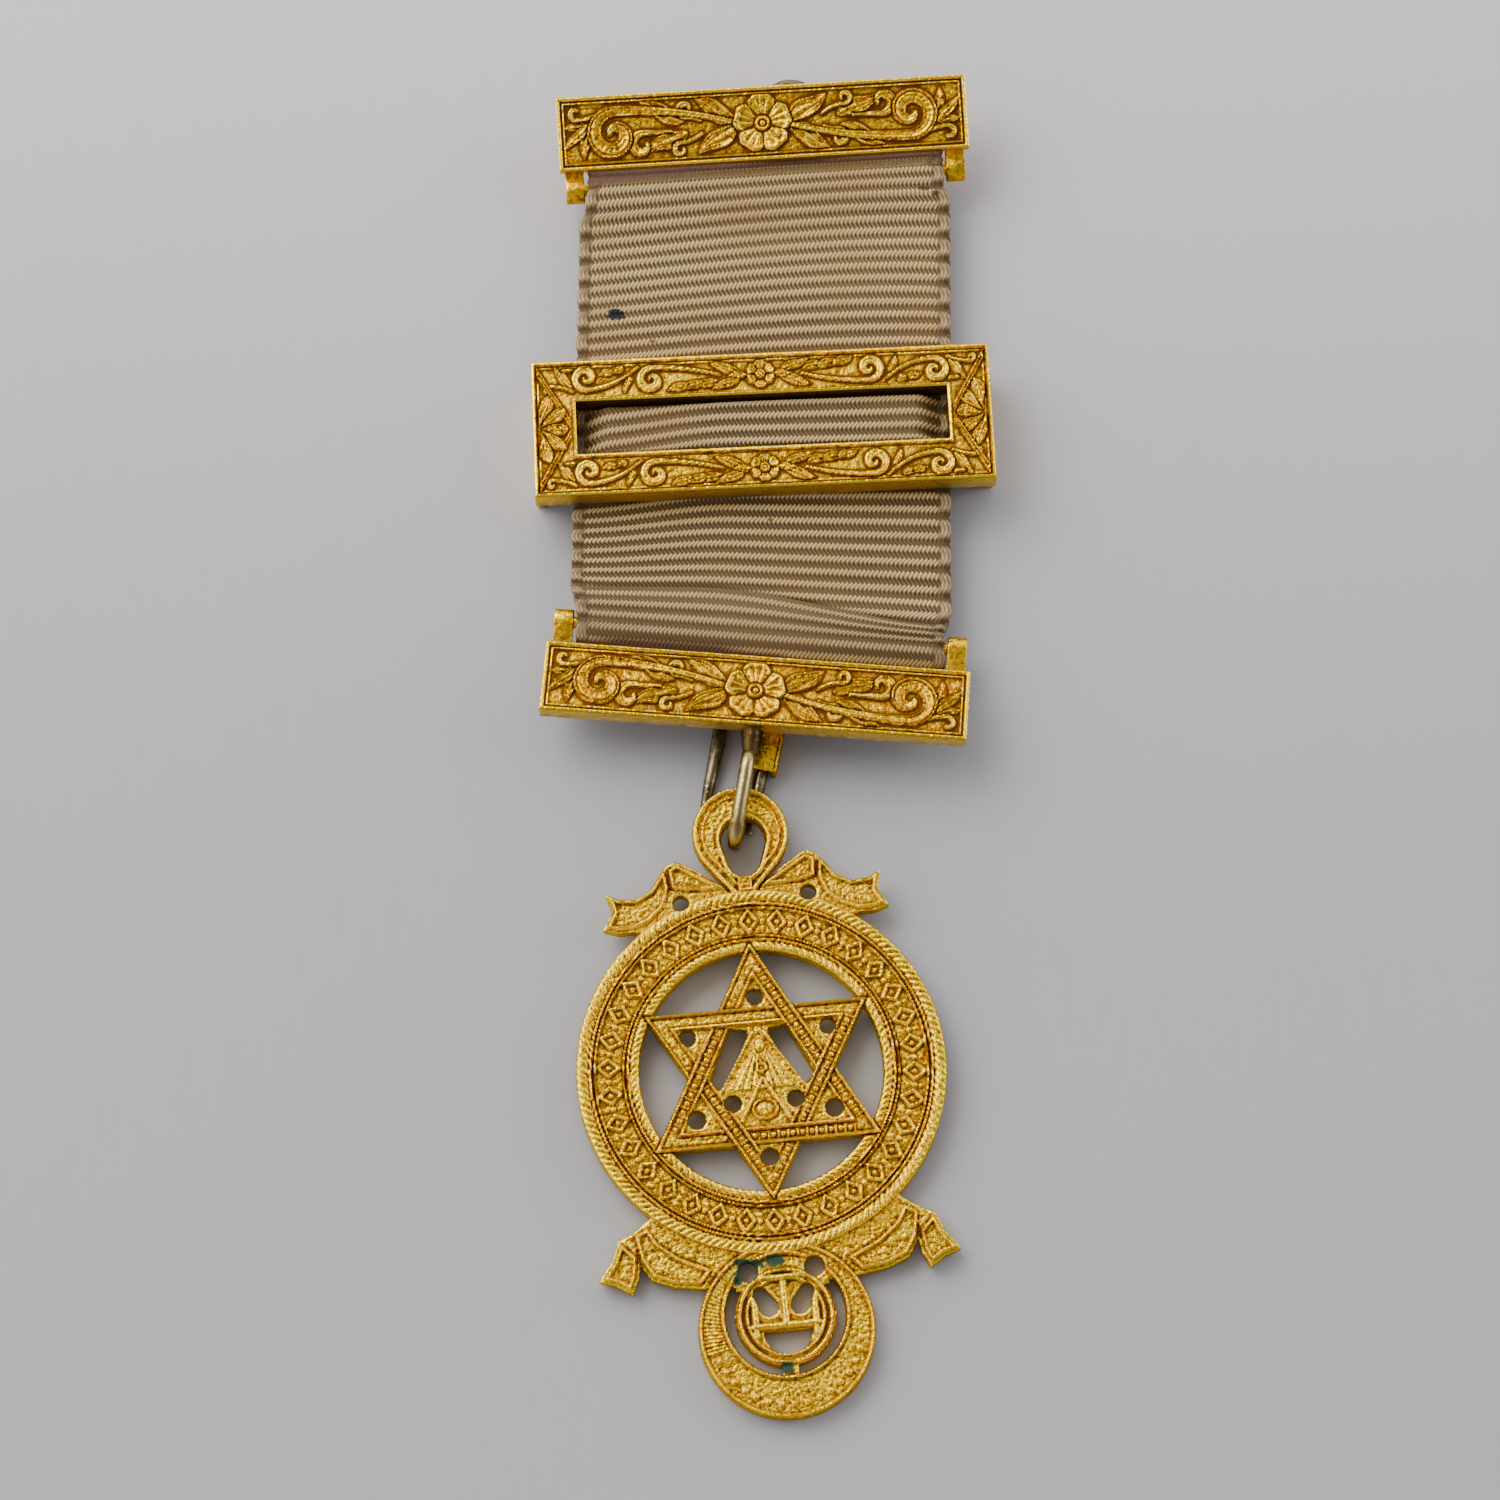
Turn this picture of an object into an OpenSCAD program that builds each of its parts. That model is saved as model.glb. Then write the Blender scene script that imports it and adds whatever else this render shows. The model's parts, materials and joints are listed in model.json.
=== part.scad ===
// Gilt breast jewel lying face up: a chased top bar, a ribbon looped round two rods, a buckle slide,
// a chased lower bar with its hanging ring, a pierced and cast medal, and a two-legged steel pin behind.
// Millimetres, +Z up. X and Y start at the middle of the outline, Z on the surface that it lies on.

/* [Ribbon] */
// Width of the ribbon
ribbon_w = 32; // [29:0.5:36]
// Thickness of one layer between its ribs
ribbon_t = 0.6; // [0.5:0.05:0.8]
// Distance from one rib of the weave to the next
rib_pitch = 1.05; // [0.9:0.05:1.4]
// Height of a rib above the valley beside it
rib_h = 0.12; // [0.05:0.01:0.16]
// How far the end of a rib stands out at the ribbon's edge
rib_loop = 0.15; // [0.05:0.01:0.2]
// From the middle of the slide to the upper rod
ribbon_above = 23.3; // [20:0.1:32]
// From the middle of the slide to the lower rod
ribbon_below = 18.5; // [16:0.1:28]
// Angle between the ribbon's middle line and straight up
ribbon_lean = -0.65; // [-3:0.05:3]
// How much narrower each side of the ribbon is where it turns round a rod
ribbon_pinch = 0.6; // [0.2:0.05:1.2]
// Depth of the crease above the lower turn
crease_d = 0.35; // [0.1:0.05:0.5]
// Height of the crease above the lower rod at its right end
crease_low = 1.6; // [1.3:0.1:2.5]
// How much higher the crease is at its left end
crease_rise = 3.1; // [0.5:0.1:4]

/* [Rods and bars] */
// Diameter of the rods that the ribbon turns round
rod_d = 1; // [0.8:0.05:1.3]
// Height of both bars
bar_h = 6.35; // [5.5:0.05:8]
// Thickness of both bars with their rims
bar_t = 1.45; // [1.2:0.05:2]
// Width of an ear
ear_w = 1.6; // [1.2:0.1:2.4]
// Thickness of an ear where it runs under its bar
ear_t = 0.8; // [0.6:0.05:1]
// Wall of an ear round its rod
ear_wall = 0.5; // [0.4:0.05:0.8]
// From the end of a bar to its ear
ear_inset = 0.4; // [0.2:0.05:1]
// Turn of the top bar and its rod in plan
top_turn = 3.8; // [0:0.1:6]
// Turn of the lower bar and its rod in plan
low_turn = -4.4; // [-6:0.1:0]
// Tilt of the top bar, its upper edge up
top_tilt = 17; // [10:0.5:22]
// Tilt of the lower bar, its lower edge up
low_tilt = 8; // [4:0.5:12]
// From the upper rod to the near edge of the top bar
top_reach = 1.35; // [1.2:0.05:2.5]
// From the lower rod to the near edge of the lower bar
low_reach = 2.5; // [2.2:0.05:4]

/* [Relief] */
// Depth of the chased fields below their rims
field_d = 0.35; // [0.2:0.05:0.5]
// Height of the chased pattern above its field
chase_h = 0.27; // [0.15:0.01:0.35]
// Width of a rim line
rim_w = 0.3; // [0.2:0.05:0.4]

/* [Slide] */
// Length of the slide
slide_w = 38.8; // [37.5:0.1:46]
// Height of the slide
slide_h = 12.2; // [11:0.1:16]
// Width of its frame round the window
slide_rail = 3.7; // [3:0.1:4.2]
// Thickness of its frame
slide_t = 2.2; // [1.6:0.1:3]
// Thickness of its end walls and of the tabs under the ribbon
slide_wall = 0.7; // [0.5:0.05:0.9]
// How far a tab reaches under the ribbon
tab_reach = 3.2; // [2:0.1:5]
// Turn of the slide in plan
slide_turn = 2.7; // [-4:0.1:5]

/* [Medal] */
// Radius of the ring-shaped band
disc_r = 15.1; // [13.5:0.1:17]
// Thickness of the cast plate under its relief
plate_t = 1.15; // [0.9:0.05:1.2]
// Height of the raised lines and borders above the plate
line_h = 0.4; // [0.2:0.05:0.45]
// Width of a raised line
line_w = 0.32; // [0.2:0.02:0.4]
// Number of twists in the outer rope border
rope_count = 84; // [60:4:120]
// Width of the star's bars
star_bar = 1.5; // [1.2:0.05:1.8]
// Turn of the medal in plan
medal_turn = 5.5; // [0:0.5:8]
// Tilt of the medal, its loop up
medal_tilt = 1.8; // [1.6:0.1:2.4]
// How far the hanging ring's end lies below the top of the loop's hole
hang_slack = 3; // [2.6:0.1:3.4]

/* [Hanging ring] */
// Wire of the hanging ring
ring_wire = 1.2; // [1:0.05:1.3]
// Length of the hanging ring
ring_len = 9; // [8.8:0.1:11]
// Height of the hanging ring as it stands on its edge
ring_rise = 4.6; // [4.4:0.1:5]
// From the lower bar to the hanging ring
ring_gap = 0.95; // [0.6:0.05:1.4]
// Angle of the hanging ring to the bar in plan
ring_lean = -5; // [-7:0.5:2]

/* [Pin] */
// Wire of the pin
pin_d = 1.3; // [1:0.05:1.35]
// Distance between the middles of its two legs
pin_gauge = 4.1; // [3.9:0.1:5]
// Thickness of a leg at its point
pin_tip = 0.5; // [0.3:0.05:0.8]
// From the lower rod to the points, along the lower bar's middle line
pin_reach = 16.6; // [13:0.1:18]
// How far the bend stands out past the top bar
pin_peek = 1.9; // [1:0.1:3]

/* [Clearances] */
// Gap between pieces that lie on or pass through each other
gap = 0.12; // [0.08:0.01:0.14]
// Gap between the ribbon's edge and the metal beside it
side_gap = 0.1; // [0.08:0.01:0.2]
// Height of the lowest metal above the surface that it lies on
lift = 0.04; // [0.02:0.01:0.05]

/* [Hidden] */
gilt = "gold";
steel = "lightslategray";
silk = "burlywood";
weld = 0.01;      // how far joined outlines overlap
sink = 0.3;       // how deep a raised part starts inside the plate that carries it
slide_y = 25.5;   // middle of the slide, with the outline's middle at y = 0

// Heights of what lies on what, from the surface up
ribbon_z = lift + pin_d + gap;                              // underside of the back layer
turn_r = rod_d / 2 + gap + ribbon_t / 2;                    // middle of the layer as it turns
rod_z = ribbon_z + turn_r + ribbon_t / 2 + rib_h;
back_z = ribbon_z + rib_h + ribbon_t / 2;                   // middle of the back layer
front_z = back_z + ribbon_t + gap;                          // middle of the front layer
slide_z = front_z + ribbon_t / 2 + rib_h + gap;             // underside of the slide's frame

// The bars' length follows the ribbon between their ears, which stand askew to it
ear_r = rod_d / 2 + gap / 2 + ear_wall;
askew = max(abs(top_turn), abs(low_turn)) + abs(ribbon_lean);
ear_in = (ribbon_w / 2 - ribbon_pinch) / cos(askew) + side_gap + (ear_r + gap) * sin(askew);
bar_w = 2 * (ear_in + ear_w + ear_inset);

// Places in plan
top_xy = [-ribbon_above * sin(ribbon_lean), slide_y + ribbon_above * cos(ribbon_lean)];
low_xy = [ribbon_below * sin(ribbon_lean), slide_y - ribbon_below * cos(ribbon_lean)];
top_seat = turn_r + ribbon_t / 2 + rib_h - 0.45;            // bar's near back edge above its rod
low_seat = 0.25;
low_edge = low_reach + bar_h * cos(low_tilt);               // lower bar's far edge from its rod
low_edge_z = low_seat + bar_h * sin(low_tilt);

// A point given in a bar's frame, taken to the object's frame
function turned(p, a) = [p.x * cos(a) - p.y * sin(a), p.x * sin(a) + p.y * cos(a)];
function from_top(p) = let (q = turned(p, top_turn)) [top_xy.x + q.x, top_xy.y + q.y, p.z];
function from_low(p) = let (q = turned(p, low_turn)) [low_xy.x + q.x, low_xy.y + q.y, p.z];

// Strokes of the chased pattern. A volute runs from its root to a spiral that closes in on its middle
spiral_steps = 22;
stem_steps = 7;
function spiral(c, r0, r1, a0, sweep) =
    [for (i = [0 : spiral_steps]) let (t = i / spiral_steps, r = r0 + (r1 - r0) * t, a = a0 + sweep * t)
        [c.x + r * cos(a), c.y + r * sin(a)]];
function stem(root, c, r0, a0, sweep) = let (s = sign(sweep), e = [c.x + r0 * cos(a0), c.y + r0 * sin(a0)],
    d = norm(e - root) * 0.5, m = [e.x + s * d * sin(a0), e.y - s * d * cos(a0)])
    [for (i = [0 : stem_steps - 1]) let (t = i / stem_steps)
        (1 - t) * (1 - t) * root + 2 * t * (1 - t) * m + t * t * e];
function heading(p, i) = let (a = p[max(i - 1, 0)], b = p[min(i + 1, len(p) - 1)]) (b - a) / norm(b - a);
function stroke(p, w0, w1) = let (n = len(p) - 1)
    concat([for (i = [0 : n]) let (h = heading(p, i), w = (w0 + (w1 - w0) * i / n) / 2)
               p[i] + w * [-h.y, h.x]],
           [for (i = [n : -1 : 0]) let (h = heading(p, i), w = (w0 + (w1 - w0) * i / n) / 2)
               p[i] - w * [-h.y, h.x]]);
leaf_steps = 6;
function leaf_side(l, w, s) = [for (i = [0 : leaf_steps]) let (t = (s > 0 ? i : leaf_steps - i) / leaf_steps)
    [l * t, s * w / 2 * pow(sin(180 * pow(t, 0.8)), 0.9)]];
module leaf(at, turn, l, w) translate(at) rotate(turn) polygon(concat(leaf_side(l, w, 1), leaf_side(l, w, -1)));
module volute(row, size) polygon(stroke(concat(
    stem([row[0], row[1]] * size, [row[2], row[3]] * size, row[4] * size, row[6], row[7]),
    spiral([row[2], row[3]] * size, row[4] * size, row[5] * size, row[6], row[7])),
    row[8] * size, row[9] * size));
module flower(r, petals) {
    for (i = [0 : petals - 1]) rotate(90 + 360 * i / petals) translate([r * 0.58, 0]) circle(r = r * 0.44, $fn = 20);
    circle(r = r * 0.3, $fn = 20);
}

// Right half of a bar's pattern, in shares of the bar's height; the left half is the same turned half round
// Volutes: root x, root y, middle x, middle y, first radius, last radius, first angle, sweep, widths
BAR_VOLUTES = [
    [0.28, -0.02, 1.99, 0.05, 0.33, 0.07, -90, 440, 0.11, 0.06],
    [0.75, 0.05, 1.60, 0.21, 0.12, 0.05, 90, -290, 0.10, 0.05],
    [0.60, 0.12, 1.06, 0.27, 0.08, 0.03, 200, -300, 0.06, 0.04],
    [0.55, -0.10, 1.08, -0.27, 0.09, 0.03, 90, -330, 0.07, 0.04],
    [2.00, -0.36, 2.46, -0.27, 0.07, 0.03, 90, -230, 0.06, 0.04]];
// Leaves: root x, root y, heading, length, width
BAR_LEAVES = [
    [0.36, 0.08, 28, 0.52, 0.20], [0.38, -0.06, -33, 0.54, 0.23], [1.00, 0.05, 24, 0.36, 0.12],
    [1.20, 0.06, 28, 0.34, 0.12], [1.12, -0.10, -28, 0.36, 0.13], [1.32, -0.14, -24, 0.34, 0.12],
    [2.38, 0.04, 82, 0.32, 0.13], [2.40, 0.00, 45, 0.30, 0.12], [2.38, -0.08, 100, 0.22, 0.10]];

// Right half of a rail's pattern on the slide, in shares of the rail's width
RAIL_VOLUTES = [
    [0.30, -0.03, 2.49, 0.06, 0.27, 0.07, -90, 400, 0.10, 0.06],
    [2.90, -0.24, 3.86, 0.00, 0.27, 0.07, 90, -400, 0.10, 0.06]];
RAIL_LEAVES = [
    [0.32, 0.08, 22, 0.55, 0.18], [0.34, -0.08, -18, 0.60, 0.18], [1.15, 0.02, 18, 0.50, 0.14],
    [1.55, 0.04, 24, 0.45, 0.14], [3.10, 0.10, 160, 0.35, 0.12], [4.28, 0.02, 40, 0.40, 0.14],
    [4.25, -0.06, -20, 0.35, 0.14]];

module half_pattern(volutes, leaves, size) {
    for (row = volutes) volute(row, size);
    for (row = leaves) leaf([row[0], row[1]] * size, row[2], row[3] * size, row[4] * size);
}
module whole_pattern(volutes, leaves, size, flower_r, petals) offset(delta = weld) {
    for (turn = [0, 180]) rotate(turn) half_pattern(volutes, leaves, size);
    flower(flower_r, petals);
}
module frame_line(w, h, inset, line) difference() {
    square([w - 2 * inset, h - 2 * inset], center = true);
    square([w - 2 * inset - 2 * line, h - 2 * inset - 2 * line], center = true);
}

// One bar lying flat, its middle at the origin, face up
module bar_plate() {
    translate([-bar_w / 2, -bar_h / 2, 0]) cube([bar_w, bar_h, bar_t - field_d]);
    translate([0, 0, bar_t - field_d - sink]) {
        linear_extrude(field_d + sink) frame_line(bar_w, bar_h, 0, rim_w);
        linear_extrude(field_d / 2 + sink) frame_line(bar_w, bar_h, 1.6 * rim_w, rim_w * 0.6);
        linear_extrude(chase_h + sink) whole_pattern(BAR_VOLUTES, BAR_LEAVES, bar_h, bar_h * 0.37, 5);
    }
}
// A pair of ears in a rod's frame: a strip under the bar, rolled round the rod
module ears(reach, seat, tilt, away) {
    for (side = [-1, 1])
        translate([side * (ear_in + ear_w / 2) - ear_w / 2, 0, 0]) rotate([90, 0, 90]) linear_extrude(ear_w)
            difference() {
                union() {
                    circle(r = ear_r, $fn = 48);
                    translate([away * reach, seat]) rotate(tilt)
                        translate([away > 0 ? -reach : -bar_h / 2, -ear_t])
                            square([reach + bar_h / 2, ear_t + weld]);
                }
                circle(r = rod_d / 2 + gap / 2, $fn = 48);
            }
}
module at_top() translate([top_xy.x, top_xy.y, rod_z]) rotate(top_turn) children();
module at_low() translate([low_xy.x, low_xy.y, rod_z]) rotate(low_turn) children();
module rod() rotate([0, 90, 0]) cylinder(d = rod_d, h = bar_w - 2 * ear_inset - gap, center = true, $fn = 48);

// The pin's line: the upper bend behind the top bar, a drop under the ribbon, then two straight legs
pin_up_z = rod_z + top_seat + (bar_h / 2) * sin(top_tilt) - ear_t - pin_d / 2 - gap;
pin_low_z = lift + pin_d / 2;
pin_top_x = 2.65;                                            // middle of the bend in the top bar's frame
pin_low_x = -0.75;                                           // middle of the legs under the lower bar's edge
pin_tip_x = -1.7;                                            // middle of the points
bend_y = top_reach + bar_h * cos(top_tilt) + pin_peek - pin_gauge / 2 - pin_d / 2;
block_y = [top_reach + bar_h * 0.44, top_reach + bar_h * 0.44 + 1.8];
function leg(side) = let (s = side * pin_gauge / 2) [
    concat(from_top([pin_top_x + s, bend_y, pin_up_z]), [pin_d / 2]),
    concat(from_top([pin_top_x + s, block_y[0] - 0.3, pin_up_z]), [pin_d / 2]),
    concat(from_top([pin_top_x + s, (block_y[0] + top_reach) / 2, (pin_up_z + pin_low_z) / 2]), [pin_d / 2]),
    concat(from_top([pin_top_x + s - 0.1, top_reach, pin_low_z]), [pin_d / 2]),
    concat(from_low([pin_low_x + s + 0.2, -low_edge + 4, pin_low_z]), [pin_d / 2]),
    concat(from_low([pin_low_x + s, -low_edge, pin_low_z]), [pin_d / 2 * 0.95]),
    concat(from_low([(pin_low_x + pin_tip_x) / 2 + s, -(low_edge + pin_reach) / 2, pin_low_z * 0.85]),
        [pin_d / 2 * 0.78]),
    concat(from_low([pin_tip_x + s, -pin_reach, lift + pin_tip / 2]), [pin_tip / 2])];
function bend() = [for (a = [20 : 20 : 160])
    concat(from_top([pin_top_x + pin_gauge / 2 * cos(a), bend_y + pin_gauge / 2 * sin(a), pin_up_z]), [pin_d / 2])];
function pin_line() = concat([for (i = [7 : -1 : 0]) leg(1)[i]], bend(), leg(-1));

// A round bar of changing radius along a line of [x, y, z, r] stations
tube_sides = 12;
function station(p, i) = [p[i][0], p[i][1], p[i][2]];
function along(p, i) = let (d = station(p, min(i + 1, len(p) - 1)) - station(p, max(i - 1, 0))) d / norm(d);
function tube_ring(p, i) = let (t = along(p, i), s = cross(t, [0, 0, 1]) / norm(cross(t, [0, 0, 1])), u = cross(s, t))
    [for (k = [0 : tube_sides - 1]) let (a = 360 * k / tube_sides)
        station(p, i) + p[i][3] * (cos(a) * s + sin(a) * u)];
module tube(p) {
    n = len(p);
    m = tube_sides;
    polyhedron(
        points = [for (i = [0 : n - 1]) each tube_ring(p, i)],
        faces = concat(
            [[for (k = [0 : m - 1]) k]],
            [for (i = [0 : n - 2]) for (k = [0 : m - 1])
                [i * m + k, (i + 1) * m + k, (i + 1) * m + (k + 1) % m, i * m + (k + 1) % m]],
            [[for (k = [m - 1 : -1 : 0]) (n - 1) * m + k]]));
}

// The hanging ring: two half hoops and two straight sides, its plane upright, soldered to the lower bar
ring_r = (ring_rise - ring_wire) / 2;
ring_near = -low_edge - ring_gap;                           // its end at the bar
ring_side_l = ring_len - ring_rise;                         // length of a straight side
ring_pitch = 4;
ring_mid_z = lift + 0.06 + ring_rise / 2 + (ring_len - ring_rise / 2) * sin(ring_pitch);
module ring_side(s) translate([0, 0, s * ring_r]) rotate([90, 0, 0])
    cylinder(d = ring_wire, h = ring_side_l, $fn = 48);
module half_hoop(s) rotate([0, 90, 0]) rotate([0, 0, s > 0 ? 0 : 180])
    rotate_extrude(angle = 180, $fn = 64) translate([ring_r, 0]) circle(d = ring_wire, $fn = 48);
module hanging_ring() translate([0, ring_near, ring_mid_z - rod_z]) rotate([ring_pitch, 0, ring_lean])
    translate([0, -ring_rise / 2, 0]) {
        half_hoop(1);
        translate([0, -ring_side_l, 0]) half_hoop(-1);
        for (s = [-1, 1]) ring_side(s);
    }
// Where the ring's far end lies in plan, which carries the medal
ring_end = from_low([0, ring_near, 0])
    + concat(turned([0, -ring_len * cos(ring_pitch)], low_turn + ring_lean), [0]);

module top_bar() color(gilt) at_top() {
    ears(top_reach, top_seat, top_tilt, 1);
    translate([0, top_reach, top_seat]) rotate([top_tilt, 0, 0]) translate([0, bar_h / 2, 0]) bar_plate();
    // Block behind the bar that holds the pin's bend
    difference() {
        translate([pin_top_x - pin_gauge / 2 - pin_d / 2 - gap - 0.45, block_y[0],
                   pin_up_z - rod_z - pin_d / 2 - gap - 0.4])
            cube([pin_gauge + pin_d + 2 * gap + 0.9, block_y[1] - block_y[0], pin_d + 2 * gap + 0.4 + ear_t + 0.9]);
        for (s = [-1, 1]) translate([pin_top_x + s * pin_gauge / 2, block_y[0] - 1, pin_up_z - rod_z])
            rotate([-90, 0, 0]) cylinder(d = pin_d + 2 * gap, h = 4, $fn = 48);
    }
}
// The catch lies over the pin's right leg and turns with it
catch_z = lift + pin_d + gap - rod_z;
catch_side = pin_d / 2 + gap;
catch_t = 0.42;
leg_splay = atan((pin_low_x - pin_tip_x) / (pin_reach - low_edge));
module catch() translate([pin_low_x + pin_gauge / 2, -low_edge, catch_z]) rotate(-leg_splay) {
    translate([-catch_side, -2.6, 0]) cube([2 * catch_side + catch_t, 4.4, catch_t]);
    translate([catch_side, -2.6, lift + 0.06 - rod_z - catch_z])
        cube([catch_t, 4.4, catch_t - lift - 0.06 + rod_z + catch_z]);
    translate([-catch_side, 0.4, 0]) cube([2 * catch_side + catch_t, 1.4, low_edge_z - catch_z + 0.2]);
}
module lower_bar() color(gilt) at_low() {
    ears(low_reach, low_seat, -low_tilt, -1);
    translate([0, -low_reach, low_seat]) rotate([-low_tilt, 0, 0]) translate([0, -bar_h / 2, 0]) bar_plate();
    hanging_ring();
    // Solder between the bar and the ring
    translate([0, -low_edge + 0.3, low_edge_z - 0.1]) rotate([90, 0, 0])
        cylinder(r1 = 1, r2 = ring_wire / 2, h = ring_gap + 0.3 + ring_wire, $fn = 48);
    catch();
}
module top_rod() color(gilt) at_top() rod();
module lower_rod() color(gilt) at_low() rod();
module brooch_pin() color(steel) tube(pin_line());

// The ribbon is one closed band: front layer down, round the lower rod, back layer up, round the upper rod
ribbon_cols = 8;
turn_rows = 6;
function ramp(t) = t >= 1 ? 0 : t <= 0 ? 1 : (1 + cos(180 * t)) / 2;
function rod_y(x, xy, turn) = xy.y + (x - xy.x) * tan(turn);
function mid_x(y) = -(y - slide_y) * tan(ribbon_lean);
function half_w(d) = ribbon_w / 2 - ribbon_pinch * ramp((d - ear_r - gap) / 2.4);
function crease_at(u) = crease_low + crease_rise * pow((1 - u) / 2, 0.8);
// d is the distance below the upper rod, e above the lower one. The crease is a valley in a slight bulge,
// so the front layer never dips into the one behind it
function crease(s) = crease_d * (exp(-pow(s / 1.8, 2)) - exp(-pow(s / 0.45, 2)));
function front_height(d, e, u) = front_z + (rod_z + turn_r - front_z) * (ramp(d / 6) + ramp(e / 5))
    + crease(e - crease_at(u)) + 0.05 * (1 + sin(60 * e + 50 * u)) * ramp(abs(e - 7) / 4);
function back_height(d, e) = back_z + (rod_z - turn_r - back_z) * (ramp(d / 6) + ramp(e / 5));
ribs = 2 * round((ribbon_above + ribbon_below) / rib_pitch / 2);
front_rows = 2 * ribs;
// Rows go round the loop: each is [layer, share of that layer]
ROWS = concat([for (i = [0 : front_rows - 1]) [0, i / front_rows]], [for (i = [0 : turn_rows - 1]) [1, i / turn_rows]],
              [for (i = [0 : front_rows - 1]) [2, i / front_rows]], [for (i = [0 : turn_rows - 1]) [3, i / turn_rows]]);
function layer_point(layer, t, u, r, crest) =
    let (x0 = u * (ribbon_w / 2), ya = rod_y(x0, top_xy, top_turn), yb = rod_y(x0, low_xy, low_turn),
         y = layer == 0 ? ya + (yb - ya) * t : layer == 2 ? yb + (ya - yb) * t : layer == 1 ? yb : ya,
         w = half_w(min(ya - y, y - yb)) - (crest ? 0 : rib_loop), x = mid_x(y) + u * w)
    layer == 0 ? [x, y, front_height(ya - y, y - yb, u) + r] :
    layer == 2 ? [x, y, back_height(ya - y, y - yb) - r] :
    let (a = (layer == 1 ? 90 : -90) - 180 * t, s = layer == 1 ? 1 : -1, q = turn_r + r)
    [x, y - abs(cos(a)) * s * q, rod_z + sin(a) * q];
function is_crest(k) = k % 2 == 0;
module ribbon() color(silk) {
    n = len(ROWS);
    c = ribbon_cols + 1;
    polyhedron(
        points = concat(
            [for (k = [0 : n - 1]) for (j = [0 : c - 1])
                layer_point(ROWS[k][0], ROWS[k][1], 2 * j / ribbon_cols - 1,
                    ribbon_t / 2 + (is_crest(k) ? rib_h : 0), is_crest(k))],
            [for (k = [0 : n - 1]) for (j = [0 : c - 1])
                layer_point(ROWS[k][0], ROWS[k][1], 2 * j / ribbon_cols - 1, -ribbon_t / 2, is_crest(k))]),
        faces = concat(
            [for (k = [0 : n - 1]) for (j = [0 : c - 2]) each let (a = k * c + j, b = ((k + 1) % n) * c + j)
                [[a, a + 1, b], [a + 1, b + 1, b]]],
            [for (k = [0 : n - 1]) for (j = [0 : c - 2]) each
                let (a = (n + k) * c + j, b = (n + (k + 1) % n) * c + j)
                [[a, b, a + 1], [a + 1, b, b + 1]]],
            [for (k = [0 : n - 1]) each let (a = k * c, b = ((k + 1) % n) * c, o = n * c)
                [[a, b, a + o], [b, b + o, a + o]]],
            [for (k = [0 : n - 1]) each let (a = k * c + c - 1, b = ((k + 1) % n) * c + c - 1, o = n * c)
                [[a, a + o, b], [b, a + o, b + o]]]));
}

// The slide: a frame over the ribbon, end walls beside it and tabs turned in below it
window_w = slide_w - 2 * slide_rail;
window_h = slide_h - 2 * slide_rail;
slide_in = ribbon_w / 2 + side_gap + (slide_h / 2) * tan(abs(slide_turn - ribbon_lean));
module palmette() for (a = [-56, -28, 0, 28, 56]) leaf([0, 0], a, slide_rail * (0.62 - abs(a) / 250), slide_rail * 0.16);
module slide_chasing() offset(delta = weld) {
    for (s = [-1, 1]) translate([0, s * (slide_h - slide_rail) / 2])
        for (turn = [0, 180]) rotate(turn) half_pattern(RAIL_VOLUTES, RAIL_LEAVES, slide_rail);
    for (s = [-1, 1]) translate([0, s * (slide_h - slide_rail) / 2]) flower(slide_rail * 0.34, 6);
    for (turn = [0, 180]) rotate(turn) translate([-slide_w / 2 + 2 * rim_w, 0]) palmette();
    for (sx = [-1, 1]) for (sy = [-1, 1])
        polygon(stroke([[sx * slide_w / 2, sy * slide_h / 2], [sx * window_w / 2, sy * window_h / 2]], rim_w, rim_w));
}
module slide() color(gilt) translate([0, slide_y, 0]) rotate(slide_turn) {
    translate([0, 0, slide_z]) difference() {
        linear_extrude(slide_t - field_d) square([slide_w, slide_h], center = true);
        translate([-window_w / 2, -window_h / 2, -1]) cube([window_w, window_h, slide_t + 2]);
    }
    translate([0, 0, slide_z + slide_t - field_d - sink]) {
        linear_extrude(field_d + sink) frame_line(slide_w, slide_h, 0, rim_w);
        linear_extrude(field_d + sink) difference() {
            square([window_w + 2 * rim_w, window_h + 2 * rim_w], center = true);
            square([window_w, window_h], center = true);
        }
        linear_extrude(chase_h + sink) intersection() {
            slide_chasing();
            frame_line(slide_w, slide_h, rim_w / 2, slide_rail - rim_w);
        }
    }
    for (s = [-1, 1]) {
        translate([s * (slide_w / 2 - slide_wall / 2), 0, (lift + slide_z + sink) / 2])
            cube([slide_wall, slide_h - 2, slide_z + sink - lift], center = true);
        translate([s * (slide_w / 2 - slide_wall / 2 - (slide_w / 2 - slide_in + tab_reach) / 2), 0,
                   lift + slide_wall / 2])
            cube([slide_w / 2 - slide_in + tab_reach + slide_wall, slide_h - 4, slide_wall], center = true);
    }
}

// The medal in its own frame: middle of the band at the origin. Outlines are in shares of the band's radius
ring_open = 0.65;          // opening inside the band
band_in = 0.74;            // inner edge of the stippled band
band_out = 0.905;          // outer edge of the stippled band
rope_in = 0.935;           // inner edge of the outer rope
loop_y = 1.318;            // middle of the loop
loop_r = 0.263;            // outer radius of the loop
hole_x = 0.023;            // middle of the loop's hole
hole_w = 0.12;             // half width of the loop's hole
hole_top = 1.403;          // top of the loop's hole
moon_y = -1.404;           // middle of the crescent's outer edge
moon_r = 0.47;
moon_in_y = -1.326;        // middle of the crescent's inner edge
moon_in_r = 0.318;
seal_y = -1.331;           // middle of the small round seal
seal_r = 0.268;
seal_in_r = 0.225;
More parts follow.
